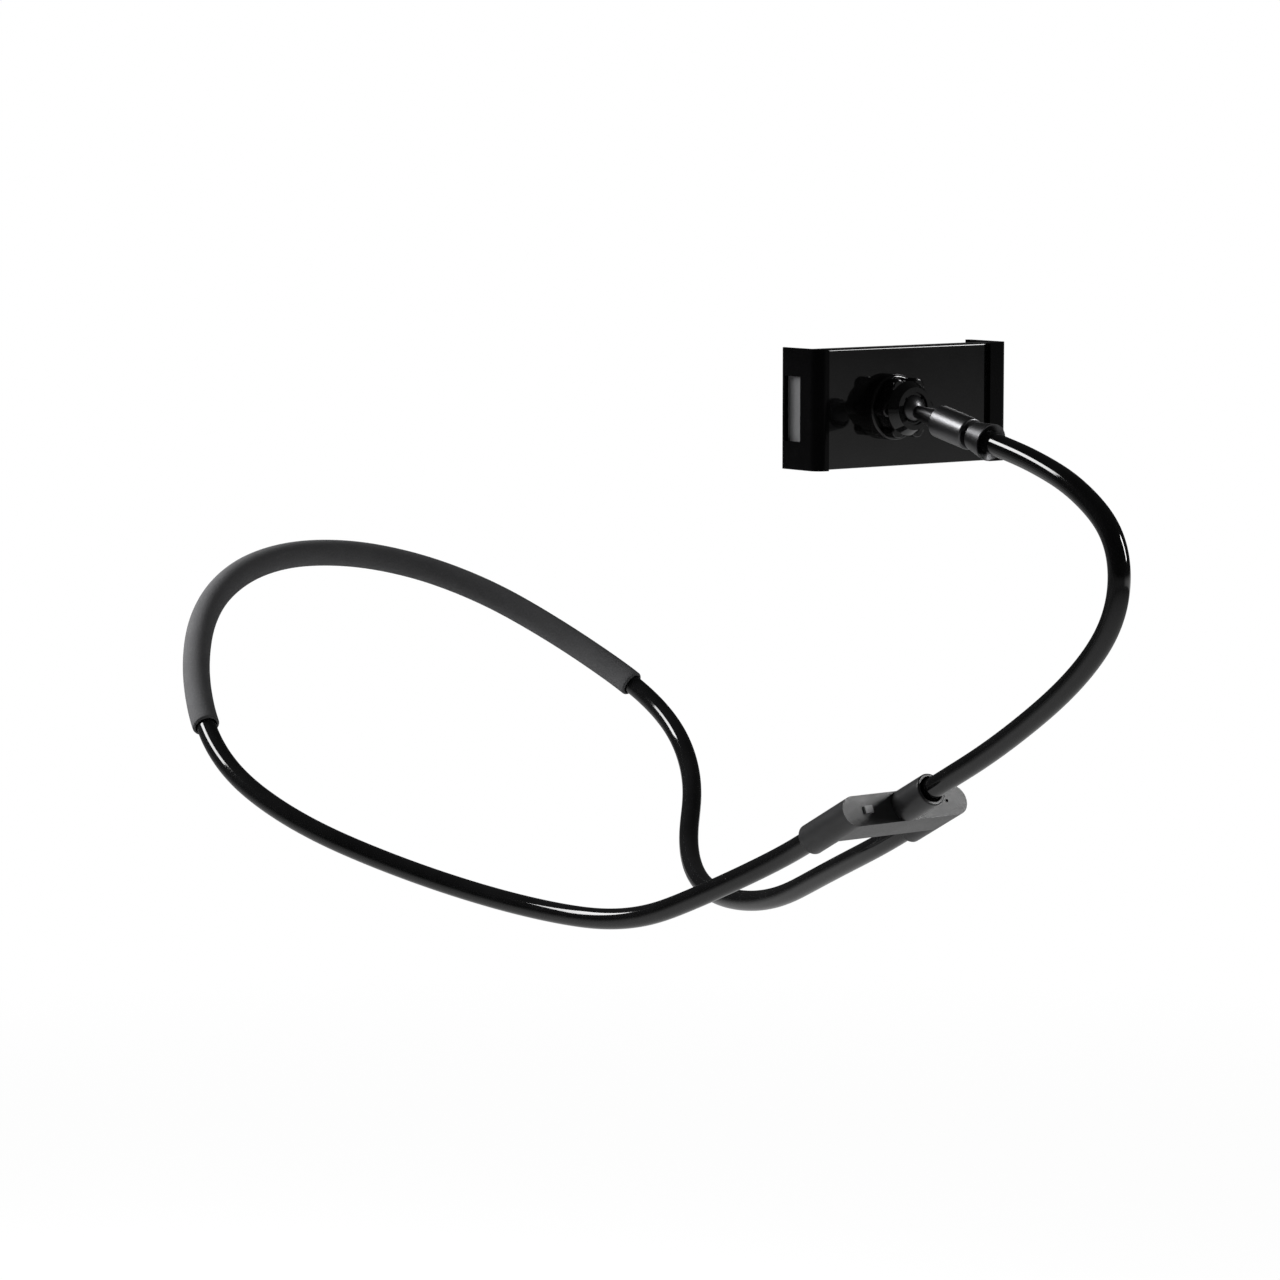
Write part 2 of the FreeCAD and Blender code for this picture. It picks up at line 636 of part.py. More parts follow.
def jaw_parts():
    """Fixed jaw on the right, sliding jaw on the left with its tongue and carriage, and the pads."""
    fixed = mirrored_to_right(jaw_shell(FIXED_JAW_CORNER, FIXED_FLANGE, JAW_SHEET))
    for screw in jaw_screws(False):
        fixed = fixed.cut(screw)
    back = JAW_SHEET + JAW_BACK_GAP
    sliding = jaw_shell(JAW_CORNER, SLIDING_FLANGE, back)
    window_low = back - JAW_DEPTH + WINDOW_FROM_FRONT
    half = WINDOW_HEIGHT / 2
    window = box(V(0, -half, window_low), V(JAW_SHEET, half, window_low + WINDOW_WIDTH))
    sliding = sliding.cut(window)
    sliding.translate(V(CLAMP_LEFT, 0, 0))
    tongue = slide_bar(CLAMP_LEFT + JAW_SHEET, CARRIAGE_LEFT, TONGUE_HEIGHT, TONGUE_THICKNESS)
    carriage_right = CARRIAGE_LEFT + CARRIAGE_LENGTH
    carriage = slide_bar(CARRIAGE_LEFT, carriage_right, CARRIAGE_HEIGHT, CARRIAGE_THICKNESS)
    for hole in guide_rods(ROD_CLEARANCE):
        carriage = carriage.cut(hole)
    sliding = sliding.fuse(tongue).fuse(carriage).removeSplitter()
    sliding_pad = jaw_pad(back)
    sliding_pad.translate(V(CLAMP_LEFT, 0, 0))
    return {
        "fixed_jaw": on_clamp(fixed),
        "fixed_jaw_pad": on_clamp(mirrored_to_right(jaw_pad(JAW_SHEET))),
        "jaw_screws": on_clamp(Part.makeCompound(jaw_screws(True))),
        "sliding_jaw": on_clamp(sliding),
        "sliding_jaw_pad": on_clamp(sliding_pad),
    }


def plate_screws(recessed):
    """Flat-headed screws through the front plate into the housing's posts."""
    screws = []
    for x, y in POST_SPOTS:
        screw = countersunk(PLATE_FACE, 1, PLATE_THICKNESS + PLATE_SCREW_DEPTH, recessed)
        screw.translate(V(x, y, 0))
        screws.append(screw)
    return screws


def housing_parts():
    """Back housing, front plate, front pad and the screws of the plate."""
    low = V(HOUSING_LEFT, -HOUSING_TOP, -HOUSING_DEPTH)
    housing = box(low, V(HOUSING_RIGHT, HOUSING_TOP, 0))
    for x, corner in ((HOUSING_LEFT, JAW_CORNER), (HOUSING_RIGHT, FIXED_JAW_CORNER)):
        back_edges = [e for e in housing.Edges if e.BoundBox.XLength < SAME and e.BoundBox.ZMin > -SAME]
        back_edges = [e for e in back_edges if abs(e.CenterOfMass.x - x) < SAME]
        housing = housing.makeFillet(corner - JAW_SHEET, back_edges)
    for side, radius in ((1, HOUSING_TOP_ROUND), (-1, HOUSING_LOW_ROUND)):
        inner, outer = side * (HOUSING_TOP - radius), side * HOUSING_TOP
        centre = V(HOUSING_LEFT, inner, -radius)
        edge = box(V(HOUSING_LEFT, min(inner, outer), -radius), V(HOUSING_RIGHT, max(inner, outer), 0))
        edge = edge.cut(Part.makeCylinder(radius, HOUSING_RIGHT - HOUSING_LEFT, centre, V(1, 0, 0)))
        housing = housing.cut(edge)
    cavity_low = V(CAVITY_LEFT, -CAVITY_TOP, -HOUSING_DEPTH)
    cavity = box(cavity_low, V(CAVITY_RIGHT, CAVITY_TOP, -BACK_WALL))
    for x, y in POST_SPOTS:
        cavity = cavity.cut(cylinder(POST_OD / 2, -HOUSING_DEPTH, 0, x, y))
    housing = housing.cut(cavity)
    slot_height = TONGUE_HEIGHT + 2 * TONGUE_GAP
    slot_thickness = TONGUE_THICKNESS + 2 * TONGUE_GAP
    housing = housing.cut(slide_bar(HOUSING_LEFT, CAVITY_LEFT, slot_height, slot_thickness))
    for rod in guide_rods(ROD_CLEARANCE):
        housing = housing.cut(rod)
    for screw in socket_screws(False) + jaw_screws(False):
        housing = housing.cut(screw)
    plate = box(V(HOUSING_LEFT, -HOUSING_TOP, PLATE_FACE), V(HOUSING_RIGHT, HOUSING_TOP, -HOUSING_DEPTH))
    for screw in plate_screws(False):
        housing = housing.cut(screw)
        plate = plate.cut(screw)
    pad_low = V(HOUSING_LEFT + FRONT_PAD_MARGIN, FRONT_PAD_SIDE - HOUSING_TOP, FRONT_PAD_FACE)
    pad_high = V(HOUSING_RIGHT - FRONT_PAD_MARGIN, HOUSING_TOP - FRONT_PAD_SIDE, PLATE_FACE)
    pad = rounded_box(pad_low, pad_high, V(0, 0, 1), FRONT_PAD_CORNER)
    return {
        "clamp_housing": on_clamp(housing),
        "front_plate": on_clamp(plate),
        "front_pad": on_clamp(pad),
        "plate_screws": on_clamp(Part.makeCompound(plate_screws(True))),
    }


def guide_rods(clearance):
    """The two rods that the carriage runs on, or their holes with a clearance."""
    rods = []
    for y in ROD_Y:
        start = V(CAVITY_LEFT - ROD_SEAT - clearance, y, SLIDE_LEVEL)
        length = CAVITY_RIGHT - CAVITY_LEFT + 2 * (ROD_SEAT + clearance)
        rods.append(Part.makeCylinder(ROD_OD / 2 + clearance, length, start, V(1, 0, 0)))
    return rods


def return_springs():
    """Coil springs on the rods, each turned as a row of close rounded coils."""
    length = CARRIAGE_LEFT - CAVITY_LEFT - 2 * SPRING_GAP
    pitch = length / SPRING_TURNS
    outer = SPRING_OD / 2
    inner = outer - SPRING_WIRE
    profile = [(inner, 0)]
    for turn in range(SPRING_TURNS):
        profile.append((outer - SPRING_WIRE / 2, pitch * turn))
        profile.append((outer, pitch * (turn + 0.5)))
    profile += [(outer - SPRING_WIRE / 2, length), (inner, length)]
    springs = []
    for y in ROD_Y:
        spring = turned(profile)
        spring.rotate(V(0, 0, 0), V(0, 1, 0), 90)
        spring.translate(V(CAVITY_LEFT + SPRING_GAP, y, SLIDE_LEVEL))
        springs.append(spring)
    return springs


def slide_parts():
    return {
        "guide_rods": on_clamp(Part.makeCompound(guide_rods(0))),
        "return_springs": on_clamp(Part.makeCompound(return_springs())),
    }


def main():
    """Build every piece and write one file for each."""
    nodes = {}
    for build in (loop_parts, connector_parts, arm_parts, end_ring_parts, stem_parts, socket_parts,
                  housing_parts, jaw_parts, slide_parts):
        nodes.update(build())
    for label, path in (("loop", loop_path()), ("arm", arm_path())):
        radii = [round(edge.Curve.Radius) for edge in path if isinstance(edge.Curve, Part.Circle)]
        print(label, "length", round(path_length(path), 1), "bend radii", radii)
    os.makedirs("parts", exist_ok=True)
    for name, shape in nodes.items():
        shape.exportStep("parts/" + name + ".step")
        print(name, shape.isValid(), len(shape.Solids), round(shape.Volume, 1))


main()
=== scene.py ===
"""Looks of a neck phone holder: gooseneck loop with a foam neck pad, grey three-way connector,
curved gooseneck arm, and a gloss black spring clamp on a ball joint.

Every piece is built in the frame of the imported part: metres, +Z up, the wearer faces -Y, and the
origin is where the middle of the neck pad meets the back of the neck.
"""
import json
import math

import bmesh
import bpy
import numpy as np
from bpy.props import FloatProperty, FloatVectorProperty, IntProperty, PointerProperty
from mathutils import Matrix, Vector

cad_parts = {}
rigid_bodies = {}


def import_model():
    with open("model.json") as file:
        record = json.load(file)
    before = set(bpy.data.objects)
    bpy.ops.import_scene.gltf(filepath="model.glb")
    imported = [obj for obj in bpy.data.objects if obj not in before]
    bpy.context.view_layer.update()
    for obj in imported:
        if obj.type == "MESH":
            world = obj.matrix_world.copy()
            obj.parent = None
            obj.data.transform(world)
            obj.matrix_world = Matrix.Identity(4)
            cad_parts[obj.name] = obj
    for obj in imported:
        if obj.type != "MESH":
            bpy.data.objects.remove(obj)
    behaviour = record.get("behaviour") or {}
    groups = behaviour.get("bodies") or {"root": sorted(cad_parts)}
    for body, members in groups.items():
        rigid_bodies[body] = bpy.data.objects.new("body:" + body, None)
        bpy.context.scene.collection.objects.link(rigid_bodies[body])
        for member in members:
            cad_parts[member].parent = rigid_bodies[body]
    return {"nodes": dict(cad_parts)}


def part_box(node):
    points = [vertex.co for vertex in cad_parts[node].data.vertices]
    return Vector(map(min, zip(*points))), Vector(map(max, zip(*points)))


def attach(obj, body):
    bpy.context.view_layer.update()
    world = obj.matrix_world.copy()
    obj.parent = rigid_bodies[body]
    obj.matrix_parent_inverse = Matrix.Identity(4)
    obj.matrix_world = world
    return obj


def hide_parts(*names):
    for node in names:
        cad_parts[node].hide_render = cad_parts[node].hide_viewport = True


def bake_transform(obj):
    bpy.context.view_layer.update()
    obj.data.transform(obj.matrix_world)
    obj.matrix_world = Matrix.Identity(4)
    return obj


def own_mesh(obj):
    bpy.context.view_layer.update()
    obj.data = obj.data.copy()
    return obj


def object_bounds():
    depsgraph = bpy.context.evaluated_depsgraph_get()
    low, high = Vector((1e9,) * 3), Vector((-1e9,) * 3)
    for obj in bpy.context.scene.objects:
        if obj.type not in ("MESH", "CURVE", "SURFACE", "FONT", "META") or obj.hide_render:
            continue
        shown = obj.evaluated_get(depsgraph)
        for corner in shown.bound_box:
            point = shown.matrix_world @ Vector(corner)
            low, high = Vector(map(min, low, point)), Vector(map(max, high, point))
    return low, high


bl_info = {
    "name": "Neck phone holder",
    "version": (1, 0, 0),
    "blender": (4, 5, 0),
    "location": "3D View > Sidebar > Neck holder",
    "description": "Builds the visible pieces and finishes of a neck phone holder on its packed part",
    "category": "Object",
}

for leftover in list(bpy.data.objects):
    bpy.data.objects.remove(leftover)
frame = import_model()
bpy.context.view_layer.update()
CAD_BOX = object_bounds()
NODES = frame["nodes"]

MM = 0.001
RISE = math.radians(28.0)
BARREL_AXIS = np.array([0.0, -math.cos(RISE), math.sin(RISE)])
CONNECTOR_FACE = np.array([0.0, -0.360, -0.059])
DROOP = math.radians(12.5)
STEM_AXIS = np.array([0.0, -math.cos(DROOP), -math.sin(DROOP)])
BALL = np.array([0.0, -0.3607, 0.0765])

# Loop: shares of its half width, reach and drop, from the barrel at -X to the one at +X
LOOP_SIZE = np.array([0.109, -0.360, -0.1165])
LOOP_SHARES = np.array([
    (-0.257, 0.801, 0.82), (-0.307, 0.692, 0.961), (-0.408, 0.565, 0.957),
    (-0.606, 0.436, 0.871), (-0.812, 0.314, 0.738), (-0.881, 0.203, 0.571),
    (-0.766, 0.106, 0.322), (-0.528, 0.025, 0.107), (-0.17, -0.018, -0.004),
    (0.243, -0.01, 0.009), (0.61, 0.043, 0.129), (0.876, 0.133, 0.339),
    (1, 0.242, 0.536), (0.885, 0.339, 0.725), (0.61, 0.425, 0.918),
    (0.404, 0.54, 1), (0.312, 0.678, 0.966), (0.243, 0.8, 0.803),
])
BARREL_X = 0.022
# Points of the straight ends, as distances along a barrel's axis or, for the ring, the stem's
LOOP_STUB = (-6.5 * MM, -17.0 * MM, -27.5 * MM, -43.5 * MM)

# Arm: shares of its reach and of the ball's rise, in the plane X = 0
ARM_SIZE = np.array([0.0, -0.105, 0.1355])
ARM_SHARES = np.array([(0, 0.819, 0.38), (0, 1, 0.55), (0, 0.995, 0.731), (0, 0.81, 0.841)])
ARM_STUB = (-4.5 * MM, 8.0 * MM, 15.2 * MM, 54.6 * MM)
RING_STUB = (64.1 * MM, 46.9 * MM, 42.4 * MM, 38.9 * MM)
CORE_REACH = 3.0 * MM

# Deviation, in points, of the bell that eases each line
LOOP_EASE = 5
ARM_EASE = 3

# Fineness of the pieces: points round or along them, and what counts as one point or as sharp
SPLINE_STEPS = 24
WIRE_SIDES = 16
LOOP_WIRE_STRIDE = 3
ARM_WIRE_STRIDE = 2
FOAM_SIDES = 72
FOAM_STEP = 1.6 * MM
FOAM_END_RINGS = 7
RIBBED_GRID = (121, 33)
PLAIN_GRID = (61, 33)
COIL_STEPS = 20
COIL_SIDES = 8
FLOOR_SIDES = 96
MERGE_DISTANCE = 1e-7
SHARP_ANGLE = math.radians(50)

# Foam: radius of its soft ends, depth of its slow waves and the room kept for them
FOAM_END = 0.9 * MM
FOAM_WAVE = 0.06 * MM
FOAM_ROOM = 0.07 * MM
# Share of the depth, radians per metre of length, waves per turn and start in radians
FOAM_WAVES = ((0.5, 95, 2, 0.0), (0.3, 41, -1, 1.3), (0.2, 210, 3, 0.4))
# Ribs start this share of two edge radii inside the ends of a pad
RIB_INSET = 0.6

SENSOR_MM = 36.0
CLIP_START = 0.05
CLIP_END = 60.0
FLOOR_MIDDLE_Y = -0.2
# Distances from the floor's middle, and the share of white or of gloom at each
FLOOR_WHITE = (0.6, 1.5, 0.9, 1.0)
FLOOR_GLOOM = (0.45, 1.8, 0.45, 0.85)
# Ranges of a direction's Z and of its X, and the share of the background that gloss shows at each
GLOSS_LOW = (-0.04, -0.128, 0.0, 1.0)
GLOSS_SIDE = (0.1, 0.5, 0.15, 1.0)
WORLD_STRENGTH = 0.08
GLOSS_DIMMING = 0.05


class GooseneckSettings(bpy.types.PropertyGroup):
    """Sizes and colours of the loop and the arm."""
    tube_diameter: FloatProperty(
        name="Tube diameter", description="Outside diameter of the sleeve", default=7.5 * MM,
        unit="LENGTH")
    tube_wall: FloatProperty(
        name="Tube wall", description="Thickness of the sleeve", default=1.45 * MM, unit="LENGTH")
    wire_diameter: FloatProperty(
        name="Wire diameter", description="Diameter of the core wire", default=4.4 * MM, unit="LENGTH")
    step: FloatProperty(
        name="Step", description="Distance between two rings of a tube", default=1.2 * MM, unit="LENGTH")
    sides: IntProperty(name="Sides", description="Points round a tube", default=40)
    sleeve_colour: FloatVectorProperty(
        name="Sleeve colour", description="Colour of the gloss sleeve", subtype="COLOR",
        default=(0.0024, 0.0024, 0.0025))
    wire_colour: FloatVectorProperty(
        name="Wire colour", description="Colour of the core wire", subtype="COLOR",
        default=(0.36, 0.35, 0.33))


class FoamSettings(bpy.types.PropertyGroup):
    """Sizes and colours of the neck pad and the grip pads."""
    pad_diameter: FloatProperty(
        name="Pad diameter", description="Outside diameter of the neck pad", default=10.5 * MM,
        unit="LENGTH")
    pad_length: FloatProperty(
        name="Pad length", description="Length of the neck pad along the loop", default=286 * MM,
        unit="LENGTH")
    pad_gap: FloatProperty(
        name="Pad gap", description="Room between the pad's bore and the sleeve", default=0.45 * MM,
        unit="LENGTH")
    foam_colour: FloatVectorProperty(
        name="Foam colour", description="Colour of the neck pad", subtype="COLOR",
        default=(0.032, 0.032, 0.033))
    grip_colour: FloatVectorProperty(
        name="Grip colour", description="Colour of the clamp's pads", subtype="COLOR",
        default=(0.07, 0.07, 0.072))


class HardwareSettings(bpy.types.PropertyGroup):
    """Colours of the connector, the clamp and the metal pieces."""
    connector_colour: FloatVectorProperty(
        name="Connector colour", description="Colour of the moulded connector", subtype="COLOR",
        default=(0.015, 0.015, 0.0155))
    # The plug's colour is far lighter than the connector's. It is a painted reflection that stands in
    # for the shine of its face.
    plug_colour: FloatVectorProperty(
        name="Plug colour", description="Colour of the plug in the connector", subtype="COLOR",
        default=(0.2, 0.2, 0.204))
    jaw_colour: FloatVectorProperty(
        name="Jaw colour", description="Colour of the satin jaws", subtype="COLOR",
        default=(0.0011, 0.0011, 0.0012))
    clamp_colour: FloatVectorProperty(
        name="Clamp colour", description="Colour of the gloss clamp", subtype="COLOR",
        default=(0.0022, 0.0022, 0.0023))
    plate_colour: FloatVectorProperty(
        name="Plate colour", description="Colour of the front plate", subtype="COLOR",
        default=(0.010, 0.010, 0.0105))
    stem_colour: FloatVectorProperty(
        name="Stem colour", description="Colour of the satin stem and ring", subtype="COLOR",
        default=(0.11, 0.11, 0.113))
    steel_colour: FloatVectorProperty(
        name="Steel colour", description="Colour of screws, rods and springs", subtype="COLOR",
        default=(0.48, 0.48, 0.49))


class StageSettings(bpy.types.PropertyGroup):
    """Camera and floor."""
    camera_spot: FloatVectorProperty(
        name="Camera spot", description="Where the camera stands", subtype="XYZ", unit="LENGTH",
        default=(-1.0574, -1.5894, 0.1822))
    camera_aim: FloatVectorProperty(
        name="Camera aim", description="Direction in which the camera looks", subtype="DIRECTION",
        default=(0.60485, 0.78825, -0.11320))
    lens: FloatProperty(name="Lens", description="Focal length in millimetres", default=135.0)
    floor_drop: FloatProperty(
        name="Floor drop", description="Distance from the holder's lowest point to the floor",
        default=0.30, unit="LENGTH")
    floor_radius: FloatProperty(
        name="Floor radius", description="Radius of the round floor", default=2.4, unit="LENGTH")
    floor_colour: FloatVectorProperty(
        name="Floor colour", description="Colour of the floor", subtype="COLOR",
        default=(0.86, 0.86, 0.86))


def spline_points(route):
    """Points along a smooth line: a quadratic spline with the route's points as its control points."""
    curve = bpy.data.curves.new("route", "CURVE")
    curve.dimensions = "3D"
    spline = curve.splines.new("NURBS")
    spline.points.add(len(route) - 1)
    spline.points.foreach_set("co", np.column_stack([route, np.ones(len(route))]).ravel())
    spline.order_u = 3
    spline.use_endpoint_u = True
    spline.resolution_u = SPLINE_STEPS
    holder = bpy.data.objects.new("route", curve)
    mesh = bpy.data.meshes.new_from_object(holder)
    points = np.zeros(len(mesh.vertices) * 3)
    mesh.vertices.foreach_get("co", points)
    bpy.data.meshes.remove(mesh)
    bpy.data.objects.remove(holder)
    bpy.data.curves.remove(curve)
    return points.reshape(-1, 3)


def even_steps(points, step):
    """The same line with its points at equal distances, by linear interpolation, and their lengths."""
    lengths = np.concatenate([[0.0], np.cumsum(np.linalg.norm(np.diff(points, axis=0), axis=1))])
    count = max(int(round(lengths[-1] / step)), 2) + 1
    wanted = np.linspace(0.0, lengths[-1], count)
    return np.column_stack([np.interp(wanted, lengths, points[:, axis]) for axis in range(3)]), wanted


def eased(points, deviation):
    """The line averaged over a bell, three deviations each way, its ends carried straight on first."""
    offsets = np.arange(-3 * deviation, 3 * deviation + 1)
    weights = np.exp(-0.5 * (offsets / deviation) ** 2)
    weights /= weights.sum()
    count = len(offsets) // 2
    steps = np.arange(1, count + 1)[:, None]
    head = points[0] + (points[0] - points[1]) * steps[::-1]
    tail = points[-1] + (points[-1] - points[-2]) * steps
    extended = np.vstack([head, points, tail])
    return np.column_stack([np.convolve(extended[:, axis], weights, "valid") for axis in range(3)])


def directions(path, reference):
    """Normal and binormal at each point; the normal is the reference turned square to the line."""
    tangent = np.gradient(path, axis=0)
    tangent /= np.linalg.norm(tangent, axis=1)[:, None]
    normal = reference - tangent * (tangent @ reference)[:, None]
    normal /= np.linalg.norm(normal, axis=1)[:, None]
    return normal, np.cross(tangent, normal)


def grid_quads(rows, columns, close_rows, close_columns):
    """Corner numbers of the quads of a grid of points, with either direction closed on itself."""
    row = np.arange(rows if close_rows else rows - 1)[:, None]
    column = np.arange(columns if close_columns else columns - 1)[None, :]
    after_row = (row + 1) % rows
    after_column = (column + 1) % columns
    corners = [row * columns + column, row * columns + after_column,
               after_row * columns + after_column, after_row * columns + column]
    return np.stack(corners, axis=-1).reshape(-1, 4)


def surface_object(name, points, quads, corner_uv=None):
    """Mesh object of a closed surface; its quads are reversed where its signed volume is negative."""
    first, second, third, fourth = (points[quads[:, corner]] for corner in range(4))
    volumes = np.einsum("ij,ij->i", first, np.cross(second, third))
    volumes += np.einsum("ij,ij->i", first, np.cross(third, fourth))
    if volumes.sum() < 0:
        quads = quads[:, ::-1]
        corner_uv = None if corner_uv is None else corner_uv[:, ::-1]
    mesh = bpy.data.meshes.new(name)
    mesh.from_pydata(points.tolist(), [], quads.tolist())
    if corner_uv is not None:
        layer = mesh.uv_layers.new(name="along")
        layer.data.foreach_set("uv", np.ascontiguousarray(corner_uv).ravel())
    work = bmesh.new()
    work.from_mesh(mesh)
    bmesh.ops.remove_doubles(work, verts=work.verts, dist=MERGE_DISTANCE)
    bmesh.ops.dissolve_degenerate(work, edges=work.edges, dist=MERGE_DISTANCE)
    work.to_mesh(mesh)
    work.free()
    mesh.shade_smooth()
    piece = bpy.data.objects.new(name, mesh)
    bpy.context.scene.collection.objects.link(piece)
    return piece


def carried_rings(name, path, reference, rows, radii, sides):
    """Surface of rings carried along a path.

    Ring i stands at path row rows[i], square to the path, with radius radii[i] or, where each angle
    has its own, radii[i, j] at angle j. The last ring joins the first one, so a tube's bore and ends
    are part of it. The map's U is the length along the path in metres and V the share of a turn.
    """
    normal, across = directions(path, np.array(reference, float))
    angle = np.linspace(0.0, 2 * math.pi, sides, endpoint=False)
    low = np.clip(np.floor(rows).astype(int), 0, len(path) - 2)
    share = (rows - low)[:, None]
    middle = path[low] * (1 - share) + path[low + 1] * share
    side = normal[low] * (1 - share) + normal[low + 1] * share
    up = across[low] * (1 - share) + across[low + 1] * share
    if radii.ndim == 1:
        radii = np.repeat(radii[:, None], sides, axis=1)
    cosine = np.cos(angle)[None, :, None]
    sine = np.sin(angle)[None, :, None]
    circle = cosine * side[:, None, :] + sine * up[:, None, :]
    points = middle[:, None, :] + radii[:, :, None] * circle
    quads = grid_quads(len(rows), sides, True, True)
    length = np.concatenate([[0.0], np.cumsum(np.linalg.norm(np.diff(path, axis=0), axis=1))])
    along = np.interp(rows, np.arange(len(path)), length)
    ring = np.repeat(np.arange(len(rows)), sides)
    turn = np.tile(np.arange(sides), len(rows))
    after = (ring + 1) % len(rows)
    u = np.stack([along[ring], along[ring], along[after], along[after]], axis=1)
    v = np.stack([turn, turn + 1, turn + 1, turn], axis=1) / sides
    return surface_object(name, points.reshape(-1, 3), quads, np.stack([u, v], axis=-1))


def tube(name, path, reference, outer, inner, sides):
    """Tube: rings of the outer radius from the first row to the last, then of the bore's radius back."""
    forth = np.arange(len(path), dtype=float)
    rows = np.concatenate([forth, forth[::-1]])
    radii = np.concatenate([np.full(len(path), outer), np.full(len(path), inner)])
    return carried_rings(name, path, reference, rows, radii, sides)


def rod(name, path, reference, radius, sides):
    """Rod: rings of one radius along the path, closed at both ends by rings of no radius."""
    forth = np.arange(len(path), dtype=float)
    rows = np.concatenate([forth[:1], forth, forth[-1:]])
    radii = np.concatenate([[0.0], np.full(len(path), radius), [0.0]])
    return carried_rings(name, path, reference, rows, radii, sides)


def barrel_point(x, along):
    """Point on one of the connector's axes, at a distance in front of its face."""
    return CONNECTOR_FACE + np.array([x, 0.0, 0.0]) + BARREL_AXIS * along


def loop_path(step):
    """The loop's centre line, from inside one barrel to inside the other, and its lengths."""
    start = [barrel_point(-BARREL_X, along) for along in LOOP_STUB]
    end = [barrel_point(BARREL_X, along) for along in LOOP_STUB]
    route = np.vstack([start, LOOP_SHARES * LOOP_SIZE, end[::-1]])
    points, lengths = even_steps(spline_points(route), step)
    return eased(points, LOOP_EASE), lengths


def arm_path(step):
    """The arm's centre line, from inside the connector to inside the end ring."""
    start = [barrel_point(0.0, along) for along in ARM_STUB]
    end = [BALL + STEM_AXIS * along for along in RING_STUB]
    route = np.vstack([start, CONNECTOR_FACE + ARM_SHARES * ARM_SIZE, end])
    points, _ = even_steps(spline_points(route), step)
    return eased(points, ARM_EASE)


def longer(path, reach):
    """The path carried straight on by a distance at both ends."""
    head = path[0] + (path[0] - path[1]) / np.linalg.norm(path[0] - path[1]) * reach
    tail = path[-1] + (path[-1] - path[-2]) / np.linalg.norm(path[-1] - path[-2]) * reach
    return np.vstack([head, path, tail])


def node_group(name, inputs, outputs):
    """New shader node group with its named sockets, and its input and output nodes."""
    group = bpy.data.node_groups.new(name, "ShaderNodeTree")
    for label, kind, value in inputs:
        socket = group.interface.new_socket(label, in_out="INPUT", socket_type=kind)
        if value is not None:
            socket.default_value = value
    for label, kind in outputs:
        group.interface.new_socket(label, in_out="OUTPUT", socket_type=kind)
    return group, group.nodes.new("NodeGroupInput"), group.nodes.new("NodeGroupOutput")


def math_node(tree, operation, first, second, clamp=False):
    """Math node on two values, each a socket or a number; returns its result."""
    node = tree.nodes.new("ShaderNodeMath")
    node.operation = operation
    node.use_clamp = clamp
    for socket, value in zip(node.inputs, (first, second)):
        if isinstance(value, (int, float)):
            socket.default_value = value
        else:
            tree.links.new(value, socket)
    return node.outputs["Value"]


def spread(tree, value, low, high, floor, ceiling):
    """Value moved from one range to another, and kept inside it."""
    node = tree.nodes.new("ShaderNodeMapRange")
    tree.links.new(value, node.inputs["Value"])
    for label, number in (("From Min", low), ("From Max", high), ("To Min", floor), ("To Max", ceiling)):
        node.inputs[label].default_value = number
    return node.outputs["Result"]


def noise(tree, vector, scale, detail, roughness=0.5):
    """Noise texture on a vector; returns its value."""
    node = tree.nodes.new("ShaderNodeTexNoise")
    node.inputs["Detail"].default_value = detail
    node.inputs["Roughness"].default_value = roughness
    tree.links.new(vector, node.inputs["Vector"])
    if isinstance(scale, (int, float)):
        node.inputs["Scale"].default_value = scale
    else:
        tree.links.new(scale, node.inputs["Scale"])
    return node.outputs["Fac"]


def fine_grain_group():
    """Moulded grain: two sizes of noise, as a height and as a tone."""
    group, source, result = node_group(
        "fine_grain",
        [("Vector", "NodeSocketVector", None), ("Scale", "NodeSocketFloat", 900.0)],
        [("Height", "NodeSocketFloat"), ("Tone", "NodeSocketFloat")])
    coarse = noise(group, source.outputs["Vector"], source.outputs["Scale"], 2.0)
    finer = math_node(group, "MULTIPLY", source.outputs["Scale"], 2.7)
    fine = noise(group, source.outputs["Vector"], finer, 1.0)
    height = math_node(group, "ADD", coarse, math_node(group, "MULTIPLY", fine, 0.5))
    broad = math_node(group, "MULTIPLY", source.outputs["Scale"], 0.06)
    tone = noise(group, source.outputs["Vector"], broad, 3.0)
    group.links.new(height, result.inputs["Height"])
    group.links.new(tone, result.inputs["Tone"])
    return group


def handling_marks_group():
    """Smudges of handling and hair scratches, as two masks from 0 to 1."""
    group, source, result = node_group(
        "handling_marks",
        [("Vector", "NodeSocketVector", None), ("Size", "NodeSocketFloat", 45.0)],
        [("Smudge", "NodeSocketFloat"), ("Scratch", "NodeSocketFloat")])
    broad = noise(group, source.outputs["Vector"], source.outputs["Size"], 4.0, 0.6)
    group.links.new(spread(group, broad, 0.42, 0.72, 0.0, 1.0), result.inputs["Smudge"])
    stretch = group.nodes.new("ShaderNodeMapping")
    stretch.inputs["Rotation"].default_value = (0.4, 0.3, 0.9)
    stretch.inputs["Scale"].default_value = (14.0, 380.0, 14.0)
    group.links.new(source.outputs["Vector"], stretch.inputs["Vector"])
    lines = noise(group, stretch.outputs["Vector"], 3.0, 3.0, 0.7)
    group.links.new(spread(group, lines, 0.66, 0.74, 0.0, 1.0), result.inputs["Scratch"])
    return group


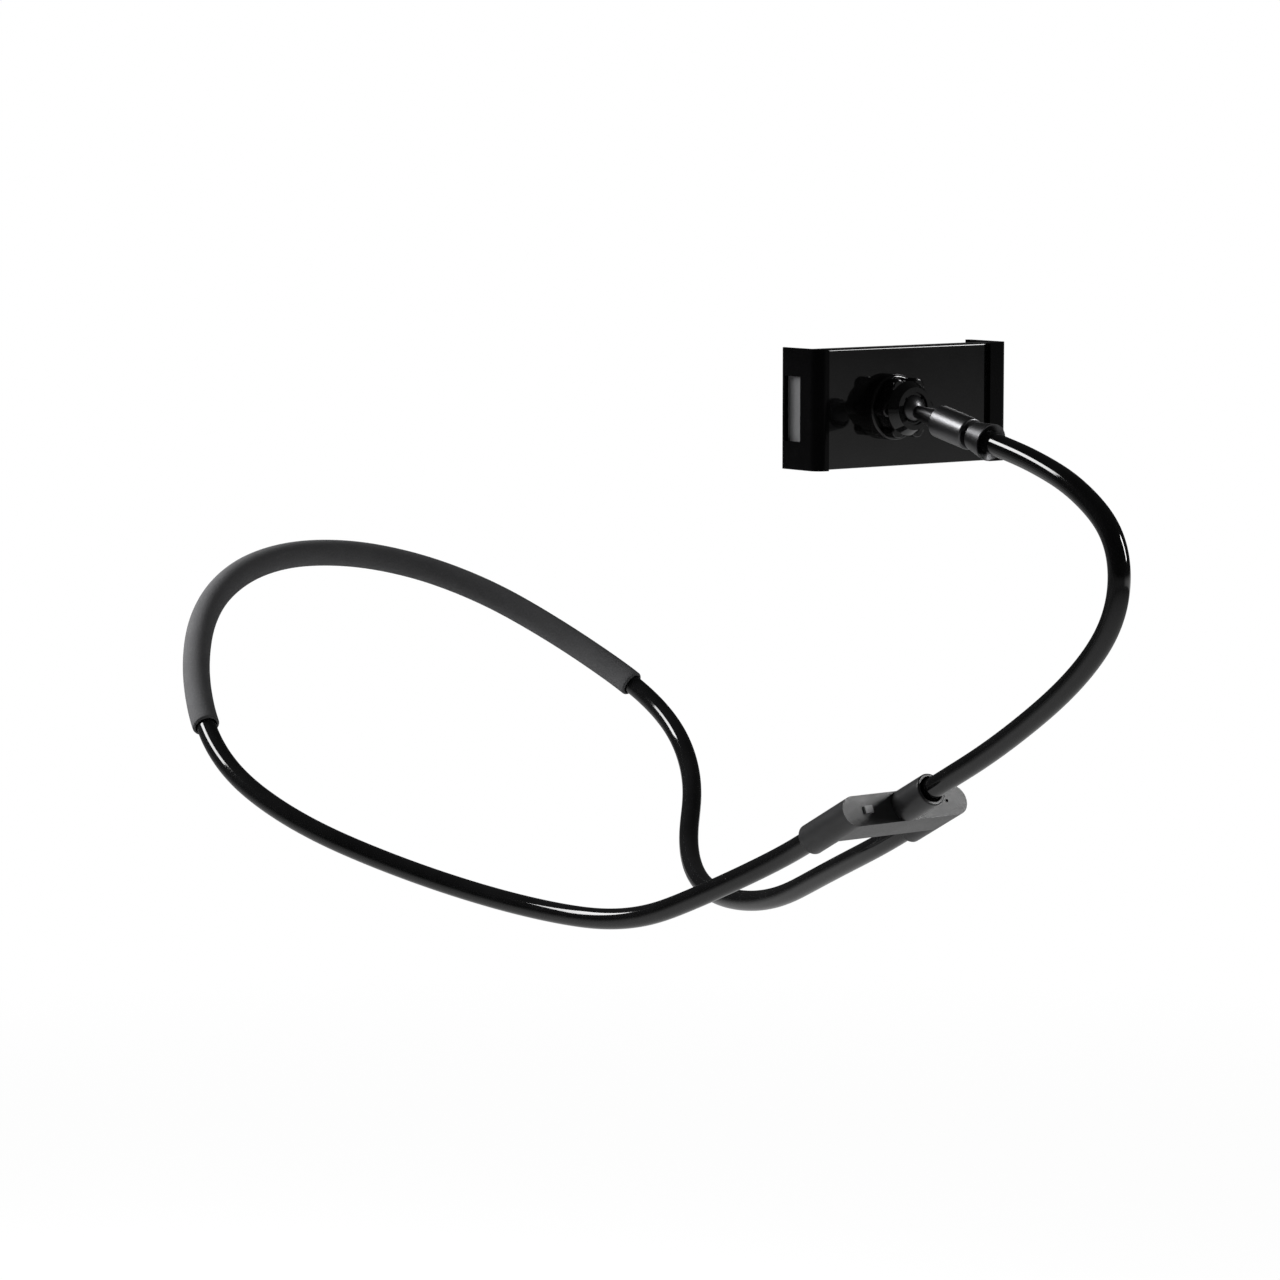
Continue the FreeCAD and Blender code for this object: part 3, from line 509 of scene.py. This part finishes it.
def foam_cells_group():
    """Closed foam cells: rounded cell walls as a height, and a tone that differs from cell to cell."""
    group, source, result = node_group(
        "foam_cells",
        [("Vector", "NodeSocketVector", None), ("Cells", "NodeSocketFloat", 1500.0)],
        [("Height", "NodeSocketFloat"), ("Tone", "NodeSocketFloat")])
    cells = group.nodes.new("ShaderNodeTexVoronoi")
    cells.feature = "SMOOTH_F1"
    cells.inputs["Smoothness"].default_value = 0.35
    group.links.new(source.outputs["Vector"], cells.inputs["Vector"])
    group.links.new(source.outputs["Cells"], cells.inputs["Scale"])
    blotch = noise(group, source.outputs["Vector"], 70.0, 3.0, 0.55)
    lumps = math_node(group, "MULTIPLY", blotch, 0.4)
    height = math_node(group, "ADD", cells.outputs["Distance"], lumps)
    tone = math_node(group, "MULTIPLY", cells.outputs["Distance"], 0.55)
    tone = math_node(group, "ADD", tone, math_node(group, "MULTIPLY", blotch, 0.6), clamp=True)
    group.links.new(height, result.inputs["Height"])
    group.links.new(tone, result.inputs["Tone"])
    return group


def turning_marks_group():
    """Fine rings left by turning: noise that changes only along one axis, as a height and a tone."""
    group, source, result = node_group(
        "turning_marks",
        [("Vector", "NodeSocketVector", None), ("Axis", "NodeSocketVector", (0.0, 0.0, 1.0)),
         ("Rings", "NodeSocketFloat", 4000.0)],
        [("Height", "NodeSocketFloat"), ("Tone", "NodeSocketFloat")])
    along = group.nodes.new("ShaderNodeVectorMath")
    along.operation = "DOT_PRODUCT"
    group.links.new(source.outputs["Vector"], along.inputs[0])
    group.links.new(source.outputs["Axis"], along.inputs[1])
    line = group.nodes.new("ShaderNodeTexNoise")
    line.noise_dimensions = "1D"
    line.inputs["Detail"].default_value = 3.0
    group.links.new(along.outputs["Value"], line.inputs["W"])
    group.links.new(source.outputs["Rings"], line.inputs["Scale"])
    group.links.new(line.outputs["Fac"], result.inputs["Height"])
    patch = noise(group, source.outputs["Vector"], 160.0, 3.0)
    group.links.new(patch, result.inputs["Tone"])
    return group


def shared_group(build):
    """A node group by its maker, built the first time it is asked for."""
    name = build.__name__[:-len("_group")]
    return bpy.data.node_groups.get(name) or build()


def placed(material, build, vector, **values):
    """A shared group placed in a material, on a vector and with its own values."""
    node = material.node_tree.nodes.new("ShaderNodeGroup")
    node.node_tree = shared_group(build)
    material.node_tree.links.new(vector, node.inputs["Vector"])
    for label, value in values.items():
        node.inputs[label].default_value = value
    return node.outputs


def new_material(name, roughness, metallic=0.0, ior=1.5):
    """Material with one Principled BSDF; returns it with its shader and its texture coordinates.

    The roughness is the plain one, which holds where no node feeds that socket.
    """
    material = bpy.data.materials.new(name)
    material.use_nodes = True
    shader = material.node_tree.nodes["Principled BSDF"]
    shader.inputs["Roughness"].default_value = roughness
    shader.inputs["Metallic"].default_value = metallic
    shader.inputs["IOR"].default_value = ior
    place = material.node_tree.nodes.new("ShaderNodeTexCoord")
    return material, shader, place.outputs


def tinted(material, shader, mask, dark, light):
    """Base colour that goes from one colour to another by a mask."""
    tree = material.node_tree
    mix = tree.nodes.new("ShaderNodeMix")
    mix.data_type = "RGBA"
    tree.links.new(mask, mix.inputs["Factor"])
    mix.inputs["A"].default_value = (*dark, 1.0)
    mix.inputs["B"].default_value = (*light, 1.0)
    tree.links.new(mix.outputs["Result"], shader.inputs["Base Color"])


def bumped(material, shader, height, distance, strength=1.0):
    """Normal from a height, with its depth in metres."""
    tree = material.node_tree
    bump = tree.nodes.new("ShaderNodeBump")
    bump.inputs["Distance"].default_value = distance
    bump.inputs["Strength"].default_value = strength
    tree.links.new(height, bump.inputs["Height"])
    tree.links.new(bump.outputs["Normal"], shader.inputs["Normal"])


def scaled(colour, share):
    """A colour made darker or lighter by a share."""
    return tuple(channel * share for channel in colour)


def gloss_sleeve(colour):
    """Gloss extruded sleeve: faint lines along its length, and smudges that dull it a little."""
    material, shader, place = new_material("gloss_sleeve", 0.07)
    tree = material.node_tree
    stretch = tree.nodes.new("ShaderNodeMapping")
    stretch.inputs["Scale"].default_value = (18.0, 60.0, 1.0)
    tree.links.new(place["UV"], stretch.inputs["Vector"])
    lines = noise(tree, stretch.outputs["Vector"], 1.0, 3.0)
    marks = placed(material, handling_marks_group, place["Object"], Size=60.0)
    tinted(material, shader, marks["Smudge"], scaled(colour, 0.9), scaled(colour, 1.5))
    dulled = math_node(tree, "MULTIPLY", marks["Smudge"], 0.035)
    roughness = math_node(tree, "ADD", spread(tree, lines, 0.3, 0.7, 0.05, 0.085), dulled)
    tree.links.new(roughness, shader.inputs["Roughness"])
    bumped(material, shader, lines, 0.0015 * MM)
    return material


def neck_foam(colour):
    """Closed-cell foam with a soft skin."""
    material, shader, place = new_material("neck_foam", 0.82, ior=1.4)
    cells = placed(material, foam_cells_group, place["Object"], Cells=1500.0)
    tinted(material, shader, cells["Tone"], scaled(colour, 0.72), scaled(colour, 1.3))
    shader.inputs["Specular IOR Level"].default_value = 0.25
    bumped(material, shader, cells["Height"], 0.07 * MM, 0.7)
    return material


def grip_foam(colour):
    """Firm grip foam of the clamp's pads."""
    material, shader, place = new_material("grip_foam", 0.75, ior=1.42)
    cells = placed(material, foam_cells_group, place["Object"], Cells=2200.0)
    tinted(material, shader, cells["Tone"], scaled(colour, 0.78), scaled(colour, 1.22))
    bumped(material, shader, cells["Height"], 0.04 * MM, 0.6)
    return material


def moulded_grey(name, colour):
    """Satin moulded plastic with a fine eroded grain."""
    material, shader, place = new_material(name, 0.35, ior=1.4)
    tree = material.node_tree
    grain = placed(material, fine_grain_group, place["Object"], Scale=1400.0)
    marks = placed(material, handling_marks_group, place["Object"], Size=70.0)
    tinted(material, shader, grain["Tone"], scaled(colour, 0.86), scaled(colour, 1.12))
    roughness = math_node(tree, "ADD", spread(tree, grain["Height"], 0.5, 1.0, 0.31, 0.39),
                          math_node(tree, "MULTIPLY", marks["Smudge"], -0.06))
    tree.links.new(roughness, shader.inputs["Roughness"])
    bumped(material, shader, grain["Height"], 0.018 * MM, 0.8)
    return material


def piano_black(colour):
    """Polished black with smudges, hair scratches and a trace of orange peel."""
    material, shader, place = new_material("piano_black", 0.05, ior=1.46)
    tree = material.node_tree
    marks = placed(material, handling_marks_group, place["Object"], Size=55.0)
    peel = placed(material, fine_grain_group, place["Object"], Scale=320.0)
    tinted(material, shader, marks["Smudge"], scaled(colour, 0.9), scaled(colour, 1.6))
    dulled = math_node(tree, "MULTIPLY", marks["Smudge"], 0.05)
    scratched = math_node(tree, "MULTIPLY", marks["Scratch"], 0.05)
    roughness = math_node(tree, "ADD", math_node(tree, "ADD", dulled, scratched), 0.045)
    tree.links.new(roughness, shader.inputs["Roughness"])
    bumped(material, shader, peel["Height"], 0.0012 * MM)
    return material


def jaw_black(colour):
    """Black coated sheet of the jaws: darker and less shiny than the housing, with hair scratches."""
    material, shader, place = new_material("jaw_black", 0.12)
    tree = material.node_tree
    shader.inputs["Specular IOR Level"].default_value = 0.1
    marks = placed(material, handling_marks_group, place["Object"], Size=80.0)
    tinted(material, shader, marks["Smudge"], scaled(colour, 0.9), scaled(colour, 1.5))
    worn = math_node(tree, "MULTIPLY", marks["Scratch"], 0.08)
    tree.links.new(math_node(tree, "ADD", worn, 0.11), shader.inputs["Roughness"])
    return material


def grained_black(colour):
    """Matt black plastic with a leather-like mould grain."""
    material, shader, place = new_material("grained_black", 0.5)
    tree = material.node_tree
    grain = placed(material, fine_grain_group, place["Object"], Scale=1000.0)
    tinted(material, shader, grain["Tone"], scaled(colour, 0.8), scaled(colour, 1.4))
    tree.links.new(spread(tree, grain["Height"], 0.5, 1.0, 0.42, 0.6), shader.inputs["Roughness"])
    bumped(material, shader, grain["Height"], 0.03 * MM)
    return material


def turned_metal(name, colour, axis, low, high, rings=2600.0):
    """Turned metal: fine rings square to an axis, a roughness from low to high, and patches of wear."""
    material, shader, place = new_material(name, 0.3, metallic=1.0)
    tree = material.node_tree
    marks = placed(material, turning_marks_group, place["Object"], Axis=tuple(axis), Rings=rings)
    tinted(material, shader, marks["Tone"], scaled(colour, 0.82), scaled(colour, 1.15))
    tree.links.new(spread(tree, marks["Height"], 0.3, 0.7, low, high), shader.inputs["Roughness"])
    bumped(material, shader, marks["Height"], 0.006 * MM)
    return material


def finish_node(name, material):
    """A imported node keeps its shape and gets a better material."""
    slots = NODES[name].data.materials
    slots.clear()
    slots.append(material)


def finish_piece(piece, material, body, node):
    """A new piece gets its material and its body, and the node that it stands for is hidden."""
    piece.data.materials.append(material)
    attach(piece, body)
    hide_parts(node)


class HOLDER_OT_loop(bpy.types.Operator):
    """Loop round the neck: gloss sleeve and core wire, swept along one smooth line"""
    bl_idname = "holder.loop"
    bl_label = "Loop"

    def execute(self, context):
        size = context.scene.holder_gooseneck
        path, _ = loop_path(size.step)
        outer = size.tube_diameter / 2
        sleeve = tube("loop_tube", path, (0, 0, 1), outer, outer - size.tube_wall, size.sides)
        finish_piece(sleeve, gloss_sleeve(size.sleeve_colour), "neck_loop", "loop_sleeve")
        core = longer(path[::LOOP_WIRE_STRIDE], CORE_REACH)
        wire = rod("loop_wire", core, (0, 0, 1), size.wire_diameter / 2, WIRE_SIDES)
        metal = turned_metal("drawn_wire", size.wire_colour, BARREL_AXIS, low=0.3, high=0.45)
        finish_piece(wire, metal, "neck_loop", "loop_core_wire")
        return {"FINISHED"}


class HOLDER_OT_neck_pad(bpy.types.Operator):
    """Foam sleeve on the back of the loop, with soft ends and a slightly uneven skin"""
    bl_idname = "holder.neck_pad"
    bl_label = "Neck pad"

    def execute(self, context):
        size = context.scene.holder_gooseneck
        foam = context.scene.holder_foam
        path, lengths = loop_path(size.step)
        piece = foam_sleeve(path, lengths, foam, size.tube_diameter / 2)
        finish_piece(piece, neck_foam(foam.foam_colour), "neck_loop", "neck_pad")
        return {"FINISHED"}


def foam_sleeve(path, lengths, foam, sleeve_radius):
    """Foam tube centred on the loop.

    The outer radius is even but for slow waves along and round it, and near each end it falls in a
    quarter circle to a flat ring, which leads back through the bore.
    """
    outer = foam.pad_diameter / 2
    bore = sleeve_radius + foam.pad_gap
    start = (lengths[-1] - foam.pad_length) / 2
    end = start + foam.pad_length
    ease = 1 - np.cos(np.linspace(0.0, math.pi / 2, FOAM_END_RINGS))
    inside = np.linspace(start + FOAM_END, end - FOAM_END, int(foam.pad_length / FOAM_STEP))[1:-1]
    along = np.concatenate([start + FOAM_END * ease, inside, end - FOAM_END * ease[::-1]])
    near = np.clip(np.minimum(along - start, end - along) / FOAM_END, 0.0, 1.0)
    fall = FOAM_END * (1 - np.sqrt(1 - (1 - near) ** 2))
    turn = np.linspace(0.0, 2 * math.pi, FOAM_SIDES, endpoint=False)[None, :]
    place = along[:, None]
    waves = sum(share * np.sin(place * rate + count * turn + first)
                for share, rate, count, first in FOAM_WAVES)
    skin = outer - FOAM_ROOM + FOAM_WAVE * waves - fall[:, None]
    back = np.linspace(end, start, len(inside))
    radii = np.vstack([skin, np.full((len(back), FOAM_SIDES), bore)])
    rows = np.interp(np.concatenate([along, back]), lengths, np.arange(len(lengths)))
    return carried_rings("foam_pad", path, (0, 0, 1), rows, radii, FOAM_SIDES)


class HOLDER_OT_arm(bpy.types.Operator):
    """Gooseneck arm: gloss sleeve and core wire, which bend between the connector and the end ring"""
    bl_idname = "holder.arm"
    bl_label = "Arm"

    def execute(self, context):
        size = context.scene.holder_gooseneck
        path = arm_path(size.step)
        outer = size.tube_diameter / 2
        sleeve = tube("arm_tube", path, (1, 0, 0), outer, outer - size.tube_wall, size.sides)
        core = longer(path[::ARM_WIRE_STRIDE], CORE_REACH)
        wire = rod("arm_wire", core, (1, 0, 0), size.wire_diameter / 2, WIRE_SIDES)
        looks = ((sleeve, bpy.data.materials["gloss_sleeve"], "sleeve", "arm_sleeve"),
                 (wire, bpy.data.materials["drawn_wire"], "core", "arm_core_wire"))
        for piece, material, slot, node in looks:
            piece.data.materials.append(material)
            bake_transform(piece)
            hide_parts(node)
        return {"FINISHED"}


class HOLDER_OT_connector(bpy.types.Operator):
    """Three-way connector of satin grey plastic, its plug, and the crimps in its seats"""
    bl_idname = "holder.connector"
    bl_label = "Connector"

    def execute(self, context):
        colours = context.scene.holder_hardware
        finish_node("connector_body", moulded_grey("moulded_grey", colours.connector_colour))
        # The plug's light colour is a painted reflection of its face
        finish_node("slot_plug", moulded_grey("plug_grey_painted_reflection", colours.plug_colour))
        crimped = turned_metal("crimp_steel", colours.steel_colour, BARREL_AXIS, low=0.25, high=0.4)
        finish_node("loop_end_crimps", crimped)
        finish_node("arm_base_crimp", crimped)
        return {"FINISHED"}


class HOLDER_OT_stem(bpy.types.Operator):
    """Swivelling stem: flared ring, satin sleeve, ball stud and the screw inside"""
    bl_idname = "holder.stem"
    bl_label = "Stem"

    def execute(self, context):
        colours = context.scene.holder_hardware
        satin = turned_metal("satin_stem", colours.stem_colour, STEM_AXIS, low=0.30, high=0.42)
        for name in ("arm_end_ring", "stem_sleeve", "ball_stud"):
            finish_node(name, satin)
        steel = turned_metal("stem_steel", colours.steel_colour, STEM_AXIS, low=0.2, high=0.35)
        finish_node("swivel_screw", steel)
        finish_node("arm_end_crimp", steel)
        return {"FINISHED"}


class HOLDER_OT_clamp(bpy.types.Operator):
    """Clamp: gloss black housing, jaws, socket and lock nut, grained front plate, and its screws"""
    bl_idname = "holder.clamp"
    bl_label = "Clamp"

    def execute(self, context):
        colours = context.scene.holder_hardware
        gloss = piano_black(colours.clamp_colour)
        for name in ("clamp_housing", "ball_socket", "lock_nut"):
            finish_node(name, gloss)
        jaws = jaw_black(colours.jaw_colour)
        for name in ("fixed_jaw", "sliding_jaw"):
            finish_node(name, jaws)
        finish_node("front_plate", grained_black(colours.plate_colour))
        screws = turned_metal(
            "screw_steel", colours.steel_colour, (0, 1, 0), low=0.2, high=0.34, rings=5000.0)
        for name in ("plate_screws", "jaw_screws", "socket_screws"):
            finish_node(name, screws)
        return {"FINISHED"}


def pad_block(name, node, axis, way, edge, rib_depth=0.0, rib_pitch=3.0 * MM):
    """Pad that fills a node's box, flat on its back and soft on the side that faces along an axis.

    Over a grid s, t from -1 to 1 the two places in the plane are the half sizes times the sine of a
    quarter turn times s or t, or times s itself along the longer side of a ribbed pad. The height is
    the thickness, less a quarter circle within the edge radius of each side, and less ribs that follow
    a cosine along the longer side and fade out near its ends.
    """
    low, high = (np.array(corner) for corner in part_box(node))
    plane = [index for index in range(3) if index != axis]
    half = (high - low)[plane] / 2
    if half[0] < half[1]:
        plane, half = plane[::-1], half[::-1]
    thick = (high - low)[axis]
    counts = RIBBED_GRID if rib_depth else PLAIN_GRID
    s, t = np.meshgrid(*(np.linspace(-1, 1, count) for count in counts), indexing="ij")
    if rib_depth:
        across = s * half[0]
    else:
        across = np.sin(s * math.pi / 2) * half[0]
    over = np.sin(t * math.pi / 2) * half[1]
    rounding = []
    for place, reach in ((across, half[0]), (over, half[1])):
        near = np.clip((reach - np.abs(place)) / edge, 0.0, 1.0)
        rounding.append(edge * (1 - np.sqrt(np.clip(1 - (1 - near) ** 2, 0.0, 1.0))))
    inner = np.clip((half[0] - np.abs(across)) / (2 * edge) - RIB_INSET, 0.0, 1.0)
    ribs = rib_depth * (0.5 - 0.5 * np.cos(2 * math.pi * across / rib_pitch)) * inner
    height = thick - np.minimum(np.hypot(*rounding), edge) - ribs
    middle = (low + high) / 2
    top = np.zeros((*s.shape, 3))
    top[..., plane[0]] = middle[plane[0]] + across
    top[..., plane[1]] = middle[plane[1]] + over
    back = low[axis] if way > 0 else high[axis]
    bottom = top.copy()
    bottom[..., axis] = back
    top[..., axis] = back + way * height
    rows, columns = s.shape
    numbers = np.arange(rows * columns).reshape(rows, columns)
    border = np.concatenate([numbers[0], numbers[1:, -1], numbers[-1, -2::-1], numbers[-2:0:-1, 0]])
    after = np.roll(border, -1)
    count = rows * columns
    face = grid_quads(rows, columns, False, False)
    wall = np.stack([after, border, border + count, after + count], axis=1)
    quads = np.vstack([face, face[:, ::-1] + count, wall])
    piece = surface_object(name, np.vstack([top.reshape(-1, 3), bottom.reshape(-1, 3)]), quads)
    piece.data.set_sharp_from_angle(angle=SHARP_ANGLE)
    return piece


class HOLDER_OT_grip_pads(bpy.types.Operator):
    """Foam pads of the clamp: one behind the phone and a ribbed one in each jaw"""
    bl_idname = "holder.grip_pads"
    bl_label = "Grip pads"

    def execute(self, context):
        material = grip_foam(context.scene.holder_foam.grip_colour)
        # Piece, node, axis and way that it faces, edge radius, depth of its ribs, and body
        pads = (("phone_pad", "front_pad", 1, 1, 0.5 * MM, 0.0, "clamp"),
                ("left_jaw_pad", "sliding_jaw_pad", 0, 1, 1.0 * MM, 0.45 * MM, "jaw"),
                ("right_jaw_pad", "fixed_jaw_pad", 0, -1, 1.0 * MM, 0.45 * MM, "clamp"))
        for name, node, axis, way, edge, rib_depth, body in pads:
            piece = pad_block(name, node, axis, way, edge, rib_depth)
            finish_piece(piece, material, body, node)
        return {"FINISHED"}


class HOLDER_OT_slide(bpy.types.Operator):
    """Guide rods and coil springs of the sliding jaw"""
    bl_idname = "holder.slide"
    bl_label = "Slide"

    turns: IntProperty(name="Turns", description="Turns of each spring", default=18)
    wire: FloatProperty(
        name="Spring wire", description="Wire diameter", default=0.45 * MM, unit="LENGTH")
    closed_share: FloatProperty(
        name="Closed share", description="Share of its length that a spring keeps", default=0.24)

    def execute(self, context):
        colours = context.scene.holder_hardware
        steel = turned_metal("rod_steel", colours.steel_colour, (1, 0, 0), low=0.16, high=0.28)
        finish_node("guide_rods", steel)
        low, high = (np.array(corner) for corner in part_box("return_springs"))
        half = (high[1] - low[1]) / 2
        radius = half - self.wire / 2
        level = (high[1] + low[1]) / 2
        for name, height in (("upper_spring", high[2]), ("lower_spring", low[2])):
            # Each spring's axis lies half a coil inside the top or the bottom of the springs' box
            middle = height + math.copysign(half, low[2] + high[2] - 2 * height)
            piece = coil(name, low[0], high[0], level, middle, radius, self.turns, self.wire)
            finish_piece(piece, steel, "clamp", "return_springs")
            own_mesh(piece)
        return {"FINISHED"}


def coil(name, start, end, level, middle, radius, turns, wire):
    """Coil spring along X, round Y level and Z middle: a wire along an even helix, inside its ends."""
    share = np.linspace(0.0, 1.0, turns * COIL_STEPS + 1)
    angle = 2 * math.pi * turns * share
    x = start + wire / 2 + (end - start - wire) * share
    path = np.column_stack([x, level + radius * np.cos(angle), middle + radius * np.sin(angle)])
    return rod(name, path, (1, 0, 0), wire / 2, COIL_SIDES)


# Name, place, aim, width, height, power in watts, and whether gloss surfaces show the lamp
LAMPS = (
    ("key_softbox", (-1.22, 1.01, 1.32), (0.0, -0.25, 0.0), 1.00, 0.75, 38.0, True),
    ("front_softbox", (1.48, -1.74, 0.84), (0.0, -0.36, 0.0), 0.35, 0.95, 26.0, True),
    ("top_fill", (0.1, -0.9, 1.5), (0.0, -0.2, 0.0), 1.6, 1.6, 3.5, False),
    ("back_panel", (-0.3, 0.28, 0.2), (-0.09, -0.06, -0.04), 0.2, 0.2, 13.0, False),
)


class HOLDER_OT_stage(bpy.types.Operator):
    """Camera, pale floor, lamps and background"""
    bl_idname = "holder.stage"
    bl_label = "Stage"

    def execute(self, context):
        settings = context.scene.holder_stage
        place_camera(context.scene, settings)
        lay_floor(settings)
        for name, spot, aim, width, height, power, shown in LAMPS:
            hang_lamp(name, Vector(spot), Vector(aim), width, height, power, shown)
        paint_world(context.scene)
        context.scene.view_settings.view_transform = "Standard"
        return {"FINISHED"}


def place_camera(scene, settings):
    """Camera at the photograph's place, with the whole square frame on its sensor."""
    camera = bpy.data.cameras.new("camera")
    camera.lens = settings.lens
    camera.sensor_width = SENSOR_MM
    camera.clip_start = CLIP_START
    camera.clip_end = CLIP_END
    holder = bpy.data.objects.new("camera", camera)
    holder.location = settings.camera_spot
    holder.rotation_mode = "QUATERNION"
    holder.rotation_quaternion = Vector(settings.camera_aim).to_track_quat("-Z", "Y")
    scene.collection.objects.link(holder)
    scene.camera = holder


def ray_kinds(tree):
    """Outputs of a Light Path node, and 1 for the rays straight from the camera or through glass."""
    rays = tree.nodes.new("ShaderNodeLightPath").outputs
    return rays, math_node(tree, "MAXIMUM", rays["Is Camera Ray"], rays["Is Transmission Ray"])


def lay_floor(settings):
    """Round pale floor under the holder, which hangs above it as it does when worn.

    The camera, glass and gloss see it white but for a share of its own shade near the middle, and gloss
    sees it darker the further out it is. All other rays see its plain colour.
    """
    level = CAD_BOX[0].z - settings.floor_drop
    turn = np.linspace(0.0, 2 * math.pi, FLOOR_SIDES, endpoint=False)
    circle = np.column_stack([np.cos(turn), np.sin(turn), np.zeros(len(turn))]) * settings.floor_radius
    mesh = bpy.data.meshes.new("floor")
    mesh.from_pydata(circle.tolist(), [], [list(range(len(turn)))])
    floor = bpy.data.objects.new("floor", mesh)
    floor.location = (0.0, FLOOR_MIDDLE_Y, level)
    bpy.context.scene.collection.objects.link(floor)
    material, shader, place = new_material("pale_floor", 0.9)
    shader.inputs["Base Color"].default_value = (*settings.floor_colour, 1.0)
    tree = material.node_tree
    white = tree.nodes.new("ShaderNodeEmission")
    mix = tree.nodes.new("ShaderNodeMixShader")
    reach = tree.nodes.new("ShaderNodeVectorMath")
    reach.operation = "LENGTH"
    tree.links.new(place["Object"], reach.inputs[0])
    rays, clear = ray_kinds(tree)
    shown = math_node(tree, "MAXIMUM", clear, rays["Is Glossy Ray"])
    far = spread(tree, reach.outputs["Value"], *FLOOR_WHITE)
    tree.links.new(math_node(tree, "MULTIPLY", shown, far), mix.inputs["Fac"])
    gloom = spread(tree, reach.outputs["Value"], *FLOOR_GLOOM)
    gloom = math_node(tree, "MULTIPLY", gloom, rays["Is Glossy Ray"])
    tree.links.new(math_node(tree, "SUBTRACT", 1.0, gloom), white.inputs["Strength"])
    tree.links.new(shader.outputs["BSDF"], mix.inputs[1])
    tree.links.new(white.outputs["Emission"], mix.inputs[2])
    tree.links.new(mix.outputs["Shader"], tree.nodes["Material Output"].inputs["Surface"])
    mesh.materials.append(material)


def hang_lamp(name, spot, aim, width, height, power, shown):
    """Rectangular soft lamp that faces a point."""
    lamp = bpy.data.lights.new(name, "AREA")
    lamp.shape = "RECTANGLE"
    lamp.size = width
    lamp.size_y = height
    lamp.energy = power
    holder = bpy.data.objects.new(name, lamp)
    holder.location = spot
    holder.rotation_mode = "QUATERNION"
    holder.rotation_quaternion = (aim - spot).to_track_quat("-Z", "Y")
    holder.visible_camera = False
    holder.visible_glossy = shown
    bpy.context.scene.collection.objects.link(holder)


def paint_world(scene):
    """Dim even studio with a white background.

    The camera and glass see the background white everywhere. Gloss sees the studio a little dimmer, and
    the white only below a low edge, mostly towards +X.
    """
    world = bpy.data.worlds.new("studio")
    world.use_nodes = True
    tree = world.node_tree
    dim = tree.nodes["Background"]
    dim.inputs["Color"].default_value = (1.0, 1.0, 1.0, 1.0)
    white = tree.nodes.new("ShaderNodeBackground")
    white.inputs["Color"].default_value = (1.0, 1.0, 1.0, 1.0)
    white.inputs["Strength"].default_value = 1.0
    place = tree.nodes.new("ShaderNodeTexCoord")
    parts = tree.nodes.new("ShaderNodeSeparateXYZ")
    tree.links.new(place.outputs["Generated"], parts.inputs["Vector"])
    low = spread(tree, parts.outputs["Z"], *GLOSS_LOW)
    low = math_node(tree, "MULTIPLY", low, spread(tree, parts.outputs["X"], *GLOSS_SIDE))
    rays, clear = ray_kinds(tree)
    darker = math_node(tree, "MULTIPLY", rays["Is Glossy Ray"], GLOSS_DIMMING)
    tree.links.new(math_node(tree, "SUBTRACT", WORLD_STRENGTH, darker), dim.inputs["Strength"])
    gloss = math_node(tree, "MULTIPLY", rays["Is Glossy Ray"], low)
    mix = tree.nodes.new("ShaderNodeMixShader")
    tree.links.new(math_node(tree, "MAXIMUM", clear, gloss), mix.inputs["Fac"])
    tree.links.new(dim.outputs["Background"], mix.inputs[1])
    tree.links.new(white.outputs["Background"], mix.inputs[2])
    tree.links.new(mix.outputs["Shader"], tree.nodes["World Output"].inputs["Surface"])
    scene.world = world


OPERATORS = (HOLDER_OT_stage, HOLDER_OT_loop, HOLDER_OT_neck_pad, HOLDER_OT_arm, HOLDER_OT_connector,
             HOLDER_OT_stem, HOLDER_OT_clamp, HOLDER_OT_grip_pads, HOLDER_OT_slide)


class HOLDER_PT_pieces(bpy.types.Panel):
    """Lists the operators in the order in which they run"""
    bl_label = "Neck phone holder"
    bl_idname = "HOLDER_PT_pieces"
    bl_space_type = "VIEW_3D"
    bl_region_type = "UI"
    bl_category = "Neck holder"

    def draw(self, context):
        for operator in OPERATORS:
            self.layout.operator(operator.bl_idname)


SETTINGS = {
    "holder_gooseneck": GooseneckSettings,
    "holder_foam": FoamSettings,
    "holder_hardware": HardwareSettings,
    "holder_stage": StageSettings,
}
CLASSES = (*SETTINGS.values(), *OPERATORS, HOLDER_PT_pieces)


def register():
    for cls in CLASSES:
        bpy.utils.register_class(cls)
    for name, cls in SETTINGS.items():
        setattr(bpy.types.Scene, name, PointerProperty(type=cls))


def unregister():
    for name in SETTINGS:
        delattr(bpy.types.Scene, name)
    for cls in reversed(CLASSES):
        bpy.utils.unregister_class(cls)


def main():
    """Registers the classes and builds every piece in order."""
    register()
    bpy.ops.holder.stage()
    bpy.ops.holder.loop()
    bpy.ops.holder.neck_pad()
    bpy.ops.holder.arm()
    bpy.ops.holder.connector()
    bpy.ops.holder.stem()
    bpy.ops.holder.clamp()
    bpy.ops.holder.grip_pads()
    bpy.ops.holder.slide()
    bpy.context.view_layer.update()


if __name__ == "__main__":
    main()
